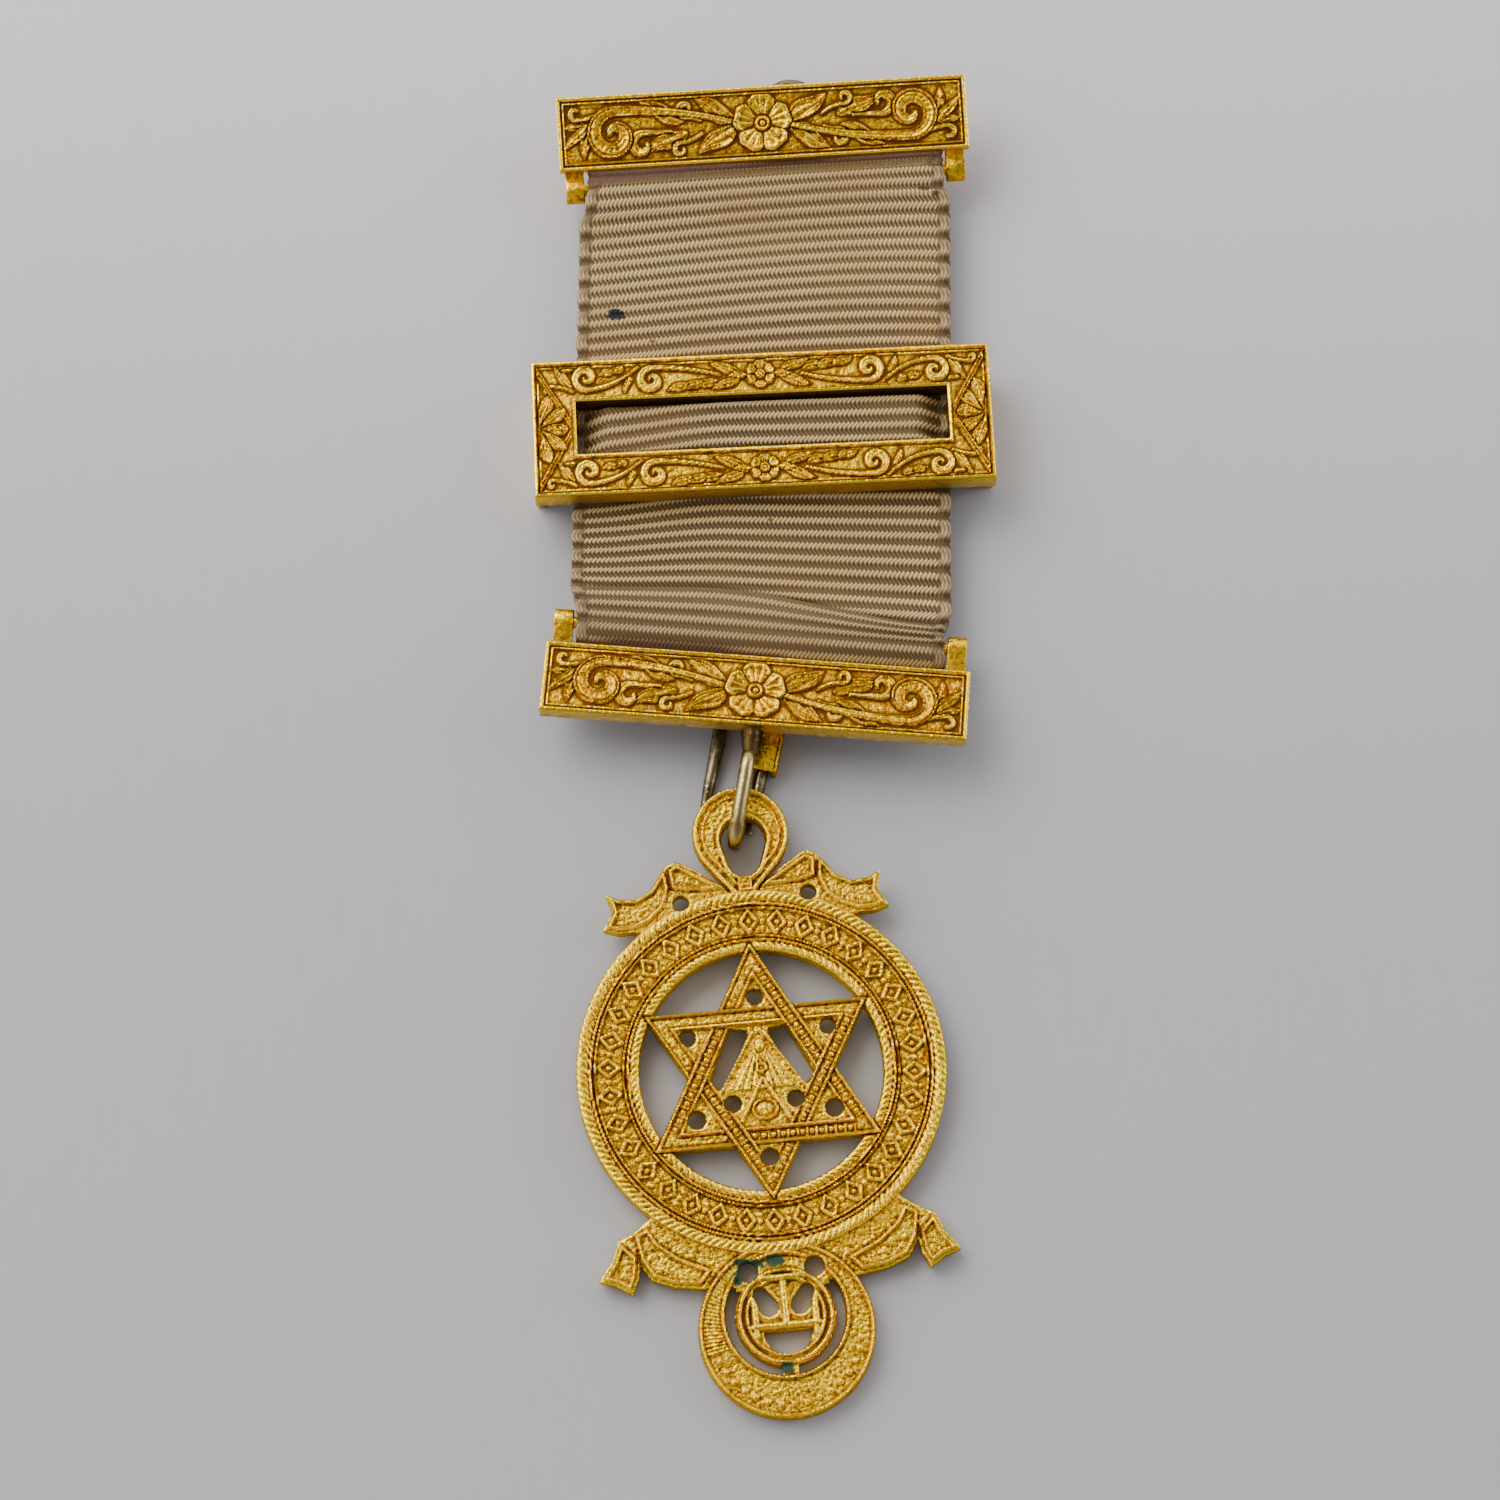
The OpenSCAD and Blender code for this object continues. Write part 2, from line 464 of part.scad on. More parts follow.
// Points of the star: the upright triangle's, then the other one's
STAR_POINTS = [[0, 0.715], [-0.615, -0.405], [0.615, -0.405], [0, -0.715], [0.61, 0.35], [-0.61, 0.35]];
// Sides of the star as pairs of points, each lying over the next one
STAR_SIDES = [[2, 0], [4, 5], [0, 1], [5, 3], [1, 2], [3, 4]];
// Right tail of the bow above the band, as x and y
BOW_TAIL = [[0.05, 0.96], [0.12, 1.04], [0.24, 1.13], [0.33, 1.185], [0.365, 1.195], [0.41, 1.175], [0.465, 1.11],
    [0.505, 1.05], [0.59, 1.005], [0.68, 1.012], [0.752, 1.05], [0.725, 0.94], [0.778, 0.848], [0.70, 0.82],
    [0.61, 0.82], [0.50, 0.80], [0.30, 0.90]];
BOW_FIRST = [[0.07, 1.01], [0.20, 1.085], [0.35, 1.175], [0.40, 1.15], [0.395, 1.04], [0.31, 1.02]];
BOW_LAST = [[0.42, 1.155], [0.465, 1.10], [0.505, 1.045], [0.59, 1.00], [0.68, 1.007], [0.741, 1.037],
    [0.715, 0.94], [0.763, 0.855], [0.70, 0.835], [0.61, 0.835], [0.52, 0.87], [0.44, 0.94], [0.405, 1.04]];
// Right half of the scroll below the band
SCROLL = [[0.66, -0.74], [0.77, -0.82], [0.845, -0.85], [0.89, -0.96], [0.967, -1.06], [0.88, -1.09],
    [0.795, -1.145], [0.755, -1.06], [0.74, -0.99], [0.685, -1.08], [0.57, -1.125], [0.42, -1.15], [0.25, -1.16],
    [0.20, -0.95], [0.45, -0.85]];
SCROLL_BAND = [[0.685, -0.80], [0.76, -0.835], [0.735, -0.975], [0.68, -1.065], [0.57, -1.11], [0.43, -1.13],
    [0.36, -1.05], [0.53, -0.97], [0.635, -0.885]];
SCROLL_TAIL = [[0.835, -0.865], [0.88, -0.97], [0.948, -1.055], [0.87, -1.08], [0.80, -1.125], [0.765, -1.05],
    [0.755, -0.95]];
// Round holes: x, y, radius, and whether the same hole is on the other side too
HOLES = [[0.348, 0.957, 0.045, true], [0, 0.405, 0.045, false], [0.38, 0.21, 0.045, true],
    [0.37, -0.24, 0.05, true], [0, -0.475, 0.05, false], [0.17, -0.17, 0.047, true], [0.178, -1.08, 0.055, true]];
// Long gap beside the middle triangle
LONG_GAP = [[0.055, 0.225], [0.15, 0.24], [0.285, -0.04], [0.225, -0.095], [0.10, 0.10]];

module both_sides() { children(); mirror([1, 0]) children(); }
module shape(rows) polygon(disc_r * rows);
module edge_of(w) difference() { offset(delta = -0.04) children(); offset(delta = -0.04 - w) children(); }
// A ring whose outer edge is cut into slanted twists
module rope(r_out, r_in, count) difference() {
    polygon([for (i = [0 : count - 1]) each let (a = 360 / count)
        [r_out * [cos(a * i), sin(a * i)], r_out * [cos(a * (i + 0.45)), sin(a * (i + 0.45))],
         (r_out - 0.22) * [cos(a * (i + 0.75)), sin(a * (i + 0.75))]]]);
    circle(r = r_in, $fn = 96);
}
module ring_line(r, w) difference() { circle(r = r + w / 2, $fn = 96); circle(r = r - w / 2, $fn = 96); }
// Outline round two circles of different size
function arc(c, r, from, to, n) = [for (i = [0 : n]) let (a = from + (to - from) * i / n) c + r * [cos(a), sin(a)]];
function capsule(a, ra, b, rb) = let (d = b - a, t = atan2(d.y, d.x), q = acos((ra - rb) / norm(d)))
    concat(arc(a, ra, t + q, t + 360 - q, 24), arc(b, rb, t - q, t + q, 10));
module loop_outline() shape(capsule([0.011, loop_y], loop_r, [0, 1.05], 0.09));
module loop_hole() shape(capsule([hole_x, hole_top - hole_w], hole_w, [hole_x * 0.75, 1.168], 0.088));
// The star: six bars, each over the next one and under the one before it
module triangle(k) shape([for (i = [0 : 2]) STAR_POINTS[3 * k + i]]);
module star_strip(k, from, to) let (a = STAR_POINTS[STAR_SIDES[k][0]] * disc_r,
    b = STAR_POINTS[STAR_SIDES[k][1]] * disc_r, d = (b - a) / norm(b - a), n = [-d.y, d.x])
    polygon([a + from * n, b + from * n, b + to * n, a + to * n]);
module star_edges(k) {
    edge_of(line_w) triangle(k);
    difference() {
        offset(delta = line_w - star_bar) triangle(k);
        offset(delta = -star_bar) triangle(k);
    }
}
module star_lines() for (k = [0 : 5]) difference() {
    intersection() {
        star_edges(k % 2);
        star_strip(k, 0, star_bar + weld);
    }
    star_strip((k + 5) % 6, -1, star_bar);
}
module centre_lines() {
    both_sides() {
        polygon(stroke([[0.03, 0.21] * disc_r, [0.235, -0.11] * disc_r], line_w, line_w));
        polygon(stroke([[0, -0.045] * disc_r, [0.13, -0.272] * disc_r], line_w * 1.2, line_w));
        for (i = [1 : 3]) polygon(stroke([[0.012 * i, 0.05] * disc_r, [0.05 * i, -0.06 - 0.008 * i] * disc_r],
            line_w * 0.5, line_w));
    }
    ring_line_at([0, 0.012] * disc_r, 0.022 * disc_r, line_w * 0.6);
    translate([0, 0.13] * disc_r) circle(r = 0.05 * disc_r, $fn = 24);
    translate([0, -0.215] * disc_r) circle(r = 0.06 * disc_r, $fn = 24);
}
module ring_line_at(at, r, w) translate(at) ring_line(r, w);
// Raised border pattern on the band: long lozenges with a bead between
module band_beads(r, from, to, count, l, w) for (i = [0 : count - 1]) rotate(from + (to - from) * i / count)
    translate([r, 0]) polygon([[w / 2, 0], [0, l / 2], [-w / 2, 0], [0, -l / 2]]);
module band_dots(r, from, to, count, size) for (i = [0 : count - 1]) rotate(from + (to - from) * (i + 0.5) / count)
    translate([r, 0]) circle(r = size, $fn = 8);

module crescent_outline() difference() {
    translate([0, moon_y] * disc_r) circle(r = moon_r * disc_r, $fn = 96);
    translate([0, moon_in_y] * disc_r) circle(r = moon_in_r * disc_r, $fn = 80);
    circle(r = disc_r, $fn = 120);
}
module seal_windows() {
    both_sides() translate([0, seal_y] * disc_r) shape(capsule([0.083, 0.055], 0.05, [0.125, 0.125], 0.04));
    shape(arc([0.006, seal_y - 0.078], 0.128, 180, 360, 16));
}
module seal_lines() {
    translate([0, seal_y] * disc_r) {
        ring_line((seal_r + seal_in_r) / 2 * disc_r - 0.05, 0.5);
        translate([0, -0.05] * disc_r) square([0.33, 0.045] * disc_r, center = true);
        translate([0, 0.09] * disc_r) square([0.045, 0.28] * disc_r, center = true);
        translate([0, 0.205] * disc_r) square([0.23, 0.045] * disc_r, center = true);
        both_sides() translate([0.16, 0] * disc_r) square([0.045, 0.22] * disc_r, center = true);
    }
}
module medal_outline() difference() {
    union() {
        difference() { circle(r = disc_r - 0.02, $fn = 120); circle(r = ring_open * disc_r, $fn = 96); }
        triangle(0);
        triangle(1);
        loop_outline();
        both_sides() { shape(BOW_TAIL); shape(SCROLL); }
        crescent_outline();
        translate([0, seal_y] * disc_r) circle(r = seal_r * disc_r, $fn = 64);
        translate([0, -1.63] * disc_r) square([0.09, 0.16] * disc_r, center = true);
        difference() {
            translate([0, -1.03] * disc_r) square([0.5, 0.3] * disc_r, center = true);
            translate([0, -1.33] * disc_r) circle(r = 0.25 * disc_r, $fn = 48);
        }
    }
    loop_hole();
    for (row = HOLES) {
        translate([row[0], row[1]] * disc_r) circle(r = row[2] * disc_r, $fn = 24);
        if (row[3]) translate([-row[0], row[1]] * disc_r) circle(r = row[2] * disc_r, $fn = 24);
    }
    both_sides() shape(LONG_GAP);
    seal_windows();
}
module medal_lines() {
    difference() {
        union() {
            rope(disc_r - 0.06, rope_in * disc_r, rope_count);
            ring_line(band_out * disc_r + line_w, line_w);
            ring_line(band_in * disc_r - line_w, line_w);
            rope((band_in - 0.035) * disc_r, (ring_open + 0.005) * disc_r, round(rope_count * 0.72));
            edge_of(line_w) difference() { loop_outline(); loop_hole(); circle(r = disc_r, $fn = 120); }
            both_sides() {
                edge_of(line_w) shape(BOW_FIRST);
                edge_of(line_w) shape(BOW_LAST);
                edge_of(line_w) shape(SCROLL_BAND);
                edge_of(line_w) shape(SCROLL_TAIL);
            }
            edge_of(line_w) crescent_outline();
        }
        triangle(0);
        triangle(1);
        for (row = HOLES) for (s = [-1, 1]) translate([s * row[0], row[1]] * disc_r)
            circle(r = row[2] * disc_r + 0.05, $fn = 24);
    }
    star_lines();
    centre_lines();
    seal_lines();
    band_beads((band_in + band_out) / 2 * disc_r, 100, 460, 28, 1.5, 0.8);
    band_dots((band_in + band_out) / 2 * disc_r, 100, 460, 28, 0.25);
    translate([0, (moon_y + moon_in_y) / 2 * disc_r])
        band_dots((moon_r + moon_in_r) / 2 * disc_r, -170, -10, 13, 0.3);
}
medal_low = (moon_r - moon_y) * disc_r;                     // from the middle to the lowest point
medal_at = [ring_end.x, ring_end.y] - turned([-0.5, hole_top * disc_r - hang_slack + 0.37], medal_turn);
module medal() color(gilt) translate([medal_at.x, medal_at.y, lift]) rotate([0, 0, medal_turn])
    translate([0, -medal_low, 0]) rotate([medal_tilt, 0, 0]) translate([0, medal_low, 0]) {
        linear_extrude(plate_t) offset(delta = weld) medal_outline();
        translate([0, 0, plate_t - sink]) linear_extrude(line_h + sink) offset(delta = weld) medal_lines();
    }

top_bar();
top_rod();
ribbon();
slide();
lower_bar();
lower_rod();
brooch_pin();
medal();
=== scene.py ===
import json
import math
import bmesh
import bpy
import numpy as np
from mathutils import Matrix, Vector
from mathutils.geometry import delaunay_2d_cdt

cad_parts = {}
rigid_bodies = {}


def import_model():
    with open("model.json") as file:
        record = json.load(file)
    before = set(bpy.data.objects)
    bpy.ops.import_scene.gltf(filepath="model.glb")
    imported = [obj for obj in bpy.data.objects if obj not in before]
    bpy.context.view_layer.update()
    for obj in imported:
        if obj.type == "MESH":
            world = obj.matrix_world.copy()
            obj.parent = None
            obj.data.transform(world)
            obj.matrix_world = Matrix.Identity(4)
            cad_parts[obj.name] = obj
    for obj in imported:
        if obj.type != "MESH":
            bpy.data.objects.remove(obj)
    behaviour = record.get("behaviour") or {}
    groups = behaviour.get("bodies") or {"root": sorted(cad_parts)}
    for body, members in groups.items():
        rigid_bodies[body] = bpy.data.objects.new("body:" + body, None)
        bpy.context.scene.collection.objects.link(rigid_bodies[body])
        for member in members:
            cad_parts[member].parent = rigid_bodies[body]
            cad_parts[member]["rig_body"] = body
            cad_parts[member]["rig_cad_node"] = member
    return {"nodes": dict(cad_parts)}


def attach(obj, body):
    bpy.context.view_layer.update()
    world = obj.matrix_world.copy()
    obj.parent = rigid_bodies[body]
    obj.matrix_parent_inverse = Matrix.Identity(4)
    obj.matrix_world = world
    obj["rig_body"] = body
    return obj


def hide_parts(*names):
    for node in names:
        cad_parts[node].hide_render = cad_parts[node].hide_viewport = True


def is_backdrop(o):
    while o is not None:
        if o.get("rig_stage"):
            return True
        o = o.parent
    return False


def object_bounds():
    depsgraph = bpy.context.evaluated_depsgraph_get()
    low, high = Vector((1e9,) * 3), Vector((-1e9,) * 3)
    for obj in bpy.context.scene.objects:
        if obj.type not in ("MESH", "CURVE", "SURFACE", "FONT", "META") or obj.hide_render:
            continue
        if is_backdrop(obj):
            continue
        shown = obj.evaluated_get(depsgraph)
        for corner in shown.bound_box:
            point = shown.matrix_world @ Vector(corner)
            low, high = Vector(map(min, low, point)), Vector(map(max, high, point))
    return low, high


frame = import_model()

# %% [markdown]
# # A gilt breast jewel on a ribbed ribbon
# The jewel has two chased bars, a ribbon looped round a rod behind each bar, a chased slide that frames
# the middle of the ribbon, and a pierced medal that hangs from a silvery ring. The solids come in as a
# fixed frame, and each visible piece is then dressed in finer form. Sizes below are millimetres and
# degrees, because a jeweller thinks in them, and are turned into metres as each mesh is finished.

MM = 0.001
cad_box = [list(corner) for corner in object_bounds()]


def print_size(words, box):
    print(words, [round((high - low) / MM, 2) for low, high in zip(*box)], "mm")


print_size("solids come in at", cad_box)

# Ribbon: width, thickness, ribs; the rods' distance from the slide; its lean; how far its turns are drawn in
RIBBON_W, RIBBON_T, RIB_H, RIB_PITCH = 32.0, 0.6, 0.12, 1.05
ABOVE, BELOW, LEAN, SLIDE_Y, DRAWN_IN = 23.3, 18.5, -0.65, 25.5, 0.6
# Rods, the play between pieces, and how far the lowest piece lies above the table
ROD_D, GAP, LIFT = 1.0, 0.12, 0.04
# Bars and their ears, how the bars lie askew, tilt and reach past their rods, and their sunk fields
BAR_H, BAR_T, EAR_W, EAR_T, EAR_WALL, EAR_INSET = 6.35, 1.45, 1.6, 0.8, 0.5, 0.4
TOP_TURN, LOW_TURN, TOP_TILT, LOW_TILT, TOP_REACH, LOW_REACH = 3.8, -4.4, 17.0, 8.0, 1.35, 2.5
FIELD_D, CHASE_H, RIM_W = 0.35, 0.34, 0.3
SLIDE_W, SLIDE_H, RAIL, SLIDE_T, WALL, TAB, SLIDE_TURN = 38.8, 12.2, 3.7, 2.2, 0.7, 3.2, 2.7
# Medal: the band's radius, thickness, raised lines, and how it lies on its ring
R, PLATE_T, LINE_H, LINE_W = 15.1, 1.15, 0.4, 0.32
MEDAL_TURN, MEDAL_TILT, SLACK = 5.5, 1.8, 3.0
RING_WIRE, RING_LEN, RING_RISE, RING_GAP, RING_LEAN, RING_PITCH = 1.2, 9.0, 4.6, 0.95, -5.0, 4.0
# Pin: wire, distance between its legs, tip, reach; its middle at the top, at the lower bar and at its tips
PIN_D, PIN_GAUGE, PIN_TIP, PIN_REACH, PIN_PEEK = 1.3, 4.1, 0.5, 16.6, 1.9
PIN_X, LEG_X, TIP_X = 2.65, -0.75, -1.7
# How closely a skin sinks into what it is soldered to, how far a relief's grid goes past its outline, and
# how near two points of a mesh lie to be one
SUNK, MARGIN, WELD = 0.06, 0.04, 1e-4

sin = lambda a: math.sin(math.radians(a))
cos = lambda a: math.cos(math.radians(a))
tan = lambda a: math.tan(math.radians(a))
ribbon_z = LIFT + PIN_D + GAP
turn_r = ROD_D / 2 + GAP + RIBBON_T / 2
rod_z = ribbon_z + turn_r + RIBBON_T / 2 + RIB_H
back_z = ribbon_z + RIB_H + RIBBON_T / 2
front_z = back_z + RIBBON_T + GAP
slide_z = front_z + RIBBON_T / 2 + RIB_H + GAP
ear_r = ROD_D / 2 + GAP / 2 + EAR_WALL
askew = max(abs(TOP_TURN), abs(LOW_TURN)) + abs(LEAN)
ear_in = (RIBBON_W / 2 - DRAWN_IN) / cos(askew) + 0.1 + (ear_r + GAP) * sin(askew)
bar_w = 2 * (ear_in + EAR_W + EAR_INSET)
top_x, top_y = -ABOVE * sin(LEAN), SLIDE_Y + ABOVE * cos(LEAN)
low_x, low_y = BELOW * sin(LEAN), SLIDE_Y - BELOW * cos(LEAN)
top_seat, low_seat = turn_r + RIBBON_T / 2 + RIB_H - 0.45, 0.25
low_edge = LOW_REACH + BAR_H * cos(LOW_TILT)
low_edge_z = low_seat + BAR_H * sin(LOW_TILT)
print(f"bars are {bar_w:.2f} mm long, the rods lie {rod_z:.2f} mm up, the slide starts at {slide_z:.2f} mm")


# %% Places, as a jeweller sets one piece against another
def move(x, y, z):
    return Matrix.Translation((x, y, z))


def spin(angle, axis):
    return Matrix.Rotation(math.radians(angle), 4, axis)


TOP = move(top_x, top_y, rod_z) @ spin(TOP_TURN, "Z")
LOW = move(low_x, low_y, rod_z) @ spin(LOW_TURN, "Z")
TOP_PLATE = TOP @ move(0, TOP_REACH, top_seat) @ spin(TOP_TILT, "X") @ move(0, BAR_H / 2, 0)
LOW_PLATE = LOW @ move(0, -LOW_REACH, low_seat) @ spin(-LOW_TILT, "X") @ move(0, -BAR_H / 2, 0)
SLIDE = move(0, SLIDE_Y, 0) @ spin(SLIDE_TURN, "Z")
ring_near = -low_edge - RING_GAP
ring_mid_z = LIFT + SUNK + RING_RISE / 2 + (RING_LEN - RING_RISE / 2) * sin(RING_PITCH)
RING = LOW @ move(0, ring_near, ring_mid_z - rod_z) @ spin(RING_LEAN, "Z") @ spin(RING_PITCH, "X")
ring_end = (LOW @ Vector((0, ring_near, 0))).xy + RING_LEN * cos(RING_PITCH) * Vector(
    (sin(LOW_TURN + RING_LEAN), -cos(LOW_TURN + RING_LEAN)))
loop_at = spin(MEDAL_TURN, "Z") @ Vector((-0.5, 1.403 * R - SLACK + 0.37, 0))
medal_low = (0.47 + 1.404) * R
MEDAL = (move(ring_end.x - loop_at.x, ring_end.y - loop_at.y, LIFT) @ spin(MEDAL_TURN, "Z")
         @ move(0, -medal_low, 0) @ spin(MEDAL_TILT, "X") @ move(0, medal_low, 0))
print("the band's middle lies at", [round(v, 2) for v in MEDAL.translation])

# %% [markdown]
# ## Camera, floor and light
# The photograph looks down from the foot of the jewel, a little off straight above. Metal shows what is
# round it, so the light matters as much as the metal. The room is bright at the upper left, like a wall
# with a window, and dark at the lower right: flat faces then stay a deep yellow, the side of each raised
# form that faces the window picks up a pale line, and the other side goes brown. One soft panel at the
# upper left gives the shadows, and a weaker one at the right softens them.


# %% Camera
def add(name, data, at=(0, 0, 0), aim=None):
    """A new object with this data in the scene, turned to face the aim if there is one."""
    obj = bpy.data.objects.new(name, data)
    bpy.context.scene.collection.objects.link(obj)
    obj.location = at
    if aim is not None:
        obj.rotation_euler = (Vector(aim) - Vector(at)).to_track_quat("-Z", "Y").to_euler()
    return obj


AIM, CAMERA_AWAY, CAMERA_UP = Vector((-1.07, -2.1, 0)) * MM, 365 * MM, 72
SENSOR, LENS = 36, 104.88
camera_at = AIM + CAMERA_AWAY * Vector((0, -cos(CAMERA_UP), sin(CAMERA_UP)))
camera_data = bpy.data.cameras.new("camera")
camera_data.sensor_width, camera_data.lens, camera_data.clip_start = SENSOR, LENS, 10 * MM
bpy.context.scene.camera = add("camera", camera_data, camera_at, AIM)
print(f"the camera stands {CAMERA_AWAY / MM:.0f} mm away and {CAMERA_UP} degrees up")


# %% Light
def panel(name, at, size, power, tint):
    data = bpy.data.lights.new(name, "AREA")
    data.shape, (data.size, data.size_y), data.energy, data.color = "RECTANGLE", size, power, tint
    add(name, data, at, (0, 0, 0))
    print(f"{name}: {size[0]:.2f} by {size[1]:.2f} m, {power} W")


panel("window_panel", (-0.31, 0.27, 0.40), (0.50, 0.40), 3.4, (1.0, 0.985, 0.96))
panel("side_panel", (0.44, 0.10, 0.22), (0.20, 0.36), 0.9, (0.97, 0.98, 1.0))
world = bpy.data.worlds.new("pale_room")
world.use_nodes = True
room = world.node_tree.nodes
facing = room.new("ShaderNodeTexCoord")
turn = room.new("ShaderNodeVectorMath")
turn.operation = "DOT_PRODUCT"
turn.inputs[1].default_value = (-0.42, 0.50, -0.76)
shade = room.new("ShaderNodeMapRange")
shade.interpolation_type = "SMOOTHSTEP"
for key, value in (("From Min", -0.95), ("From Max", 0.25), ("To Min", 0.40), ("To Max", 2.1)):
    shade.inputs[key].default_value = value
room["Background"].inputs["Color"].default_value = (0.95, 0.965, 1.0, 1)
for socket, into in ((facing.outputs["Generated"], turn.inputs[0]),
                     (turn.outputs["Value"], shade.inputs["Value"]),
                     (shade.outputs["Result"], room["Background"].inputs["Strength"])):
    world.node_tree.links.new(socket, into)
bpy.context.scene.world = world

# %% [markdown]
# ## Shader maths as sums
# A finish is a few sums on patterns: so much brown in the recesses for dirt and painted shade, so much pale
# on the edges for wear and painted highlights. A small class lets them be written as sums, each adding the
# Math nodes that it needs.


# %% Sums on sockets
class Tone:
    """One socket of a material. Sums on it add Math nodes, and node() adds any other kind."""

    def __init__(self, tree, socket=None):
        self.tree, self.socket = tree, socket

    def node(self, kind, inputs, out=0, **settings):
        made = self.tree.nodes.new(kind)
        for key, value in settings.items():
            setattr(made, key, value)
        for key, value in inputs.items():
            if isinstance(value, Tone):
                self.tree.links.new(value.socket, made.inputs[key])
            else:
                made.inputs[key].default_value = value
        return Tone(self.tree, made.outputs[out])

    def math(self, operation, a, b=0.0, clamp=False):
        return self.node("ShaderNodeMath", {0: a, 1: b}, operation=operation, use_clamp=clamp)

    def __add__(self, other): return self.math("ADD", self, other)
    def __radd__(self, other): return self.math("ADD", other, self)
    def __sub__(self, other): return self.math("SUBTRACT", self, other)
    def __rsub__(self, other): return self.math("SUBTRACT", other, self)
    def __mul__(self, other): return self.math("MULTIPLY", self, other)
    def __rmul__(self, other): return self.math("MULTIPLY", other, self)
    def __truediv__(self, other): return self.math("DIVIDE", self, other)
    def clamp(self): return self.math("ADD", self, 0.0, clamp=True)
    def fract(self): return self.math("FRACT", self)
    def sine(self): return self.math("SINE", self)
    def size(self): return self.math("ABSOLUTE", self)

    def step(self, low, high):
        return self.node("ShaderNodeMapRange", {"Value": self, "From Min": low, "From Max": high},
                         interpolation_type="SMOOTHSTEP")

    def between(self, first, second):
        """The colour first where this is 0, and second where it is 1."""
        return self.node("ShaderNodeMix", {0: self, 6: first, 7: second}, out=2, data_type="RGBA")


class Finish:
    """A material with one Principled shader, and the patterns that its sums start from."""

    def __init__(self, name, **fixed):
        self.material = bpy.data.materials.new(name)
        self.material.use_nodes = True
        self.tree = self.material.node_tree
        self.shader = self.tree.nodes["Principled BSDF"]
        for key, value in fixed.items():
            self.shader.inputs[key.replace("_", " ")].default_value = value
        self.node = Tone(self.tree).node
        self.place = self.node("ShaderNodeTexCoord", {}, out=3)

    def feed(self, **links):
        for key, tone in links.items():
            self.tree.links.new(tone.socket, self.shader.inputs[key.replace("_", " ")])

    def noise(self, scale, detail=2.0, roughness=0.5, stretch=(1, 1, 1)):
        at = self.node("ShaderNodeMapping", {"Vector": self.place, "Scale": stretch})
        settings = {"Vector": at, "Scale": scale, "Detail": detail, "Roughness": roughness}
        return self.node("ShaderNodeTexNoise", settings)

    def value(self, name):
        return self.node("ShaderNodeAttribute", {}, out=2, attribute_name=name, attribute_type="GEOMETRY")

    def spot(self, at, half, ragged):
        """1 inside an uneven spot at a place in mm, of half size in mm."""
        middle, share = (at[0] * MM, at[1] * MM, 0), (1 / half[0] / MM, 1 / half[1] / MM, 0)
        away = self.node("ShaderNodeVectorMath", {0: self.place, 1: middle}, operation="SUBTRACT")
        flat = self.node("ShaderNodeVectorMath", {0: away, 1: share}, operation="MULTIPLY")
        far = self.node("ShaderNodeVectorMath", {0: flat}, out=1, operation="LENGTH")
        return 1 - (far + (ragged - 0.5) * 1.4).step(0.75, 1.1)

    def bumps(self, *layers):
        """Bump layers as (height, depth in mm, strength), the coarsest first."""
        under = {}
        for height, depth, strength in layers:
            layer = {"Height": height, "Distance": depth * MM, "Strength": strength}
            under = {"Normal": self.node("ShaderNodeBump", layer | under)}
        self.feed(**under)


def colour(*rgb):
    """A colour as a screen shows it, 0 to 255, turned into light."""
    return (*((v / 255 / 12.92 if v <= 10 else ((v / 255 + 0.055) / 1.055) ** 2.4) for v in rgb), 1)


# %% [markdown]
# ## The finishes
# Fire gilding is deep yellow and warmer where it is thin. Its recesses are painted brown: dirt and old
# lacquer, and painted shade. Its crests are painted pale and its walls silver, where hands have rubbed it
# through, with painted highlights and a painted reflection. The relief pieces carry three values of their own
# for these, worked out from their height.

# %% Gilt metal
PALE = (1.0, 0.67, 0.02, 1)
# The first is the dark brown painted into the stipple's pits as shade; the last the silver of walls rubbed
# through, with a painted reflection.
PIT_SHADE, STAIN, SILVER_AND_REFLECTION = (0.30, 0.115, 0.004, 1), (0.34, 0.16, 0.02, 1), (0.93, 0.77, 0.50, 1)
# The first is the brown of dirt and painted shade in recesses, the second specks of dirt.
DIRT_AND_SHADE, SPECK = (0.13, 0.044, 0.005, 1), (0.18, 0.06, 0.006, 1)
GREEN, PALE_GREEN = (0.010, 0.030, 0.020, 1), (0.04, 0.095, 0.060, 1)


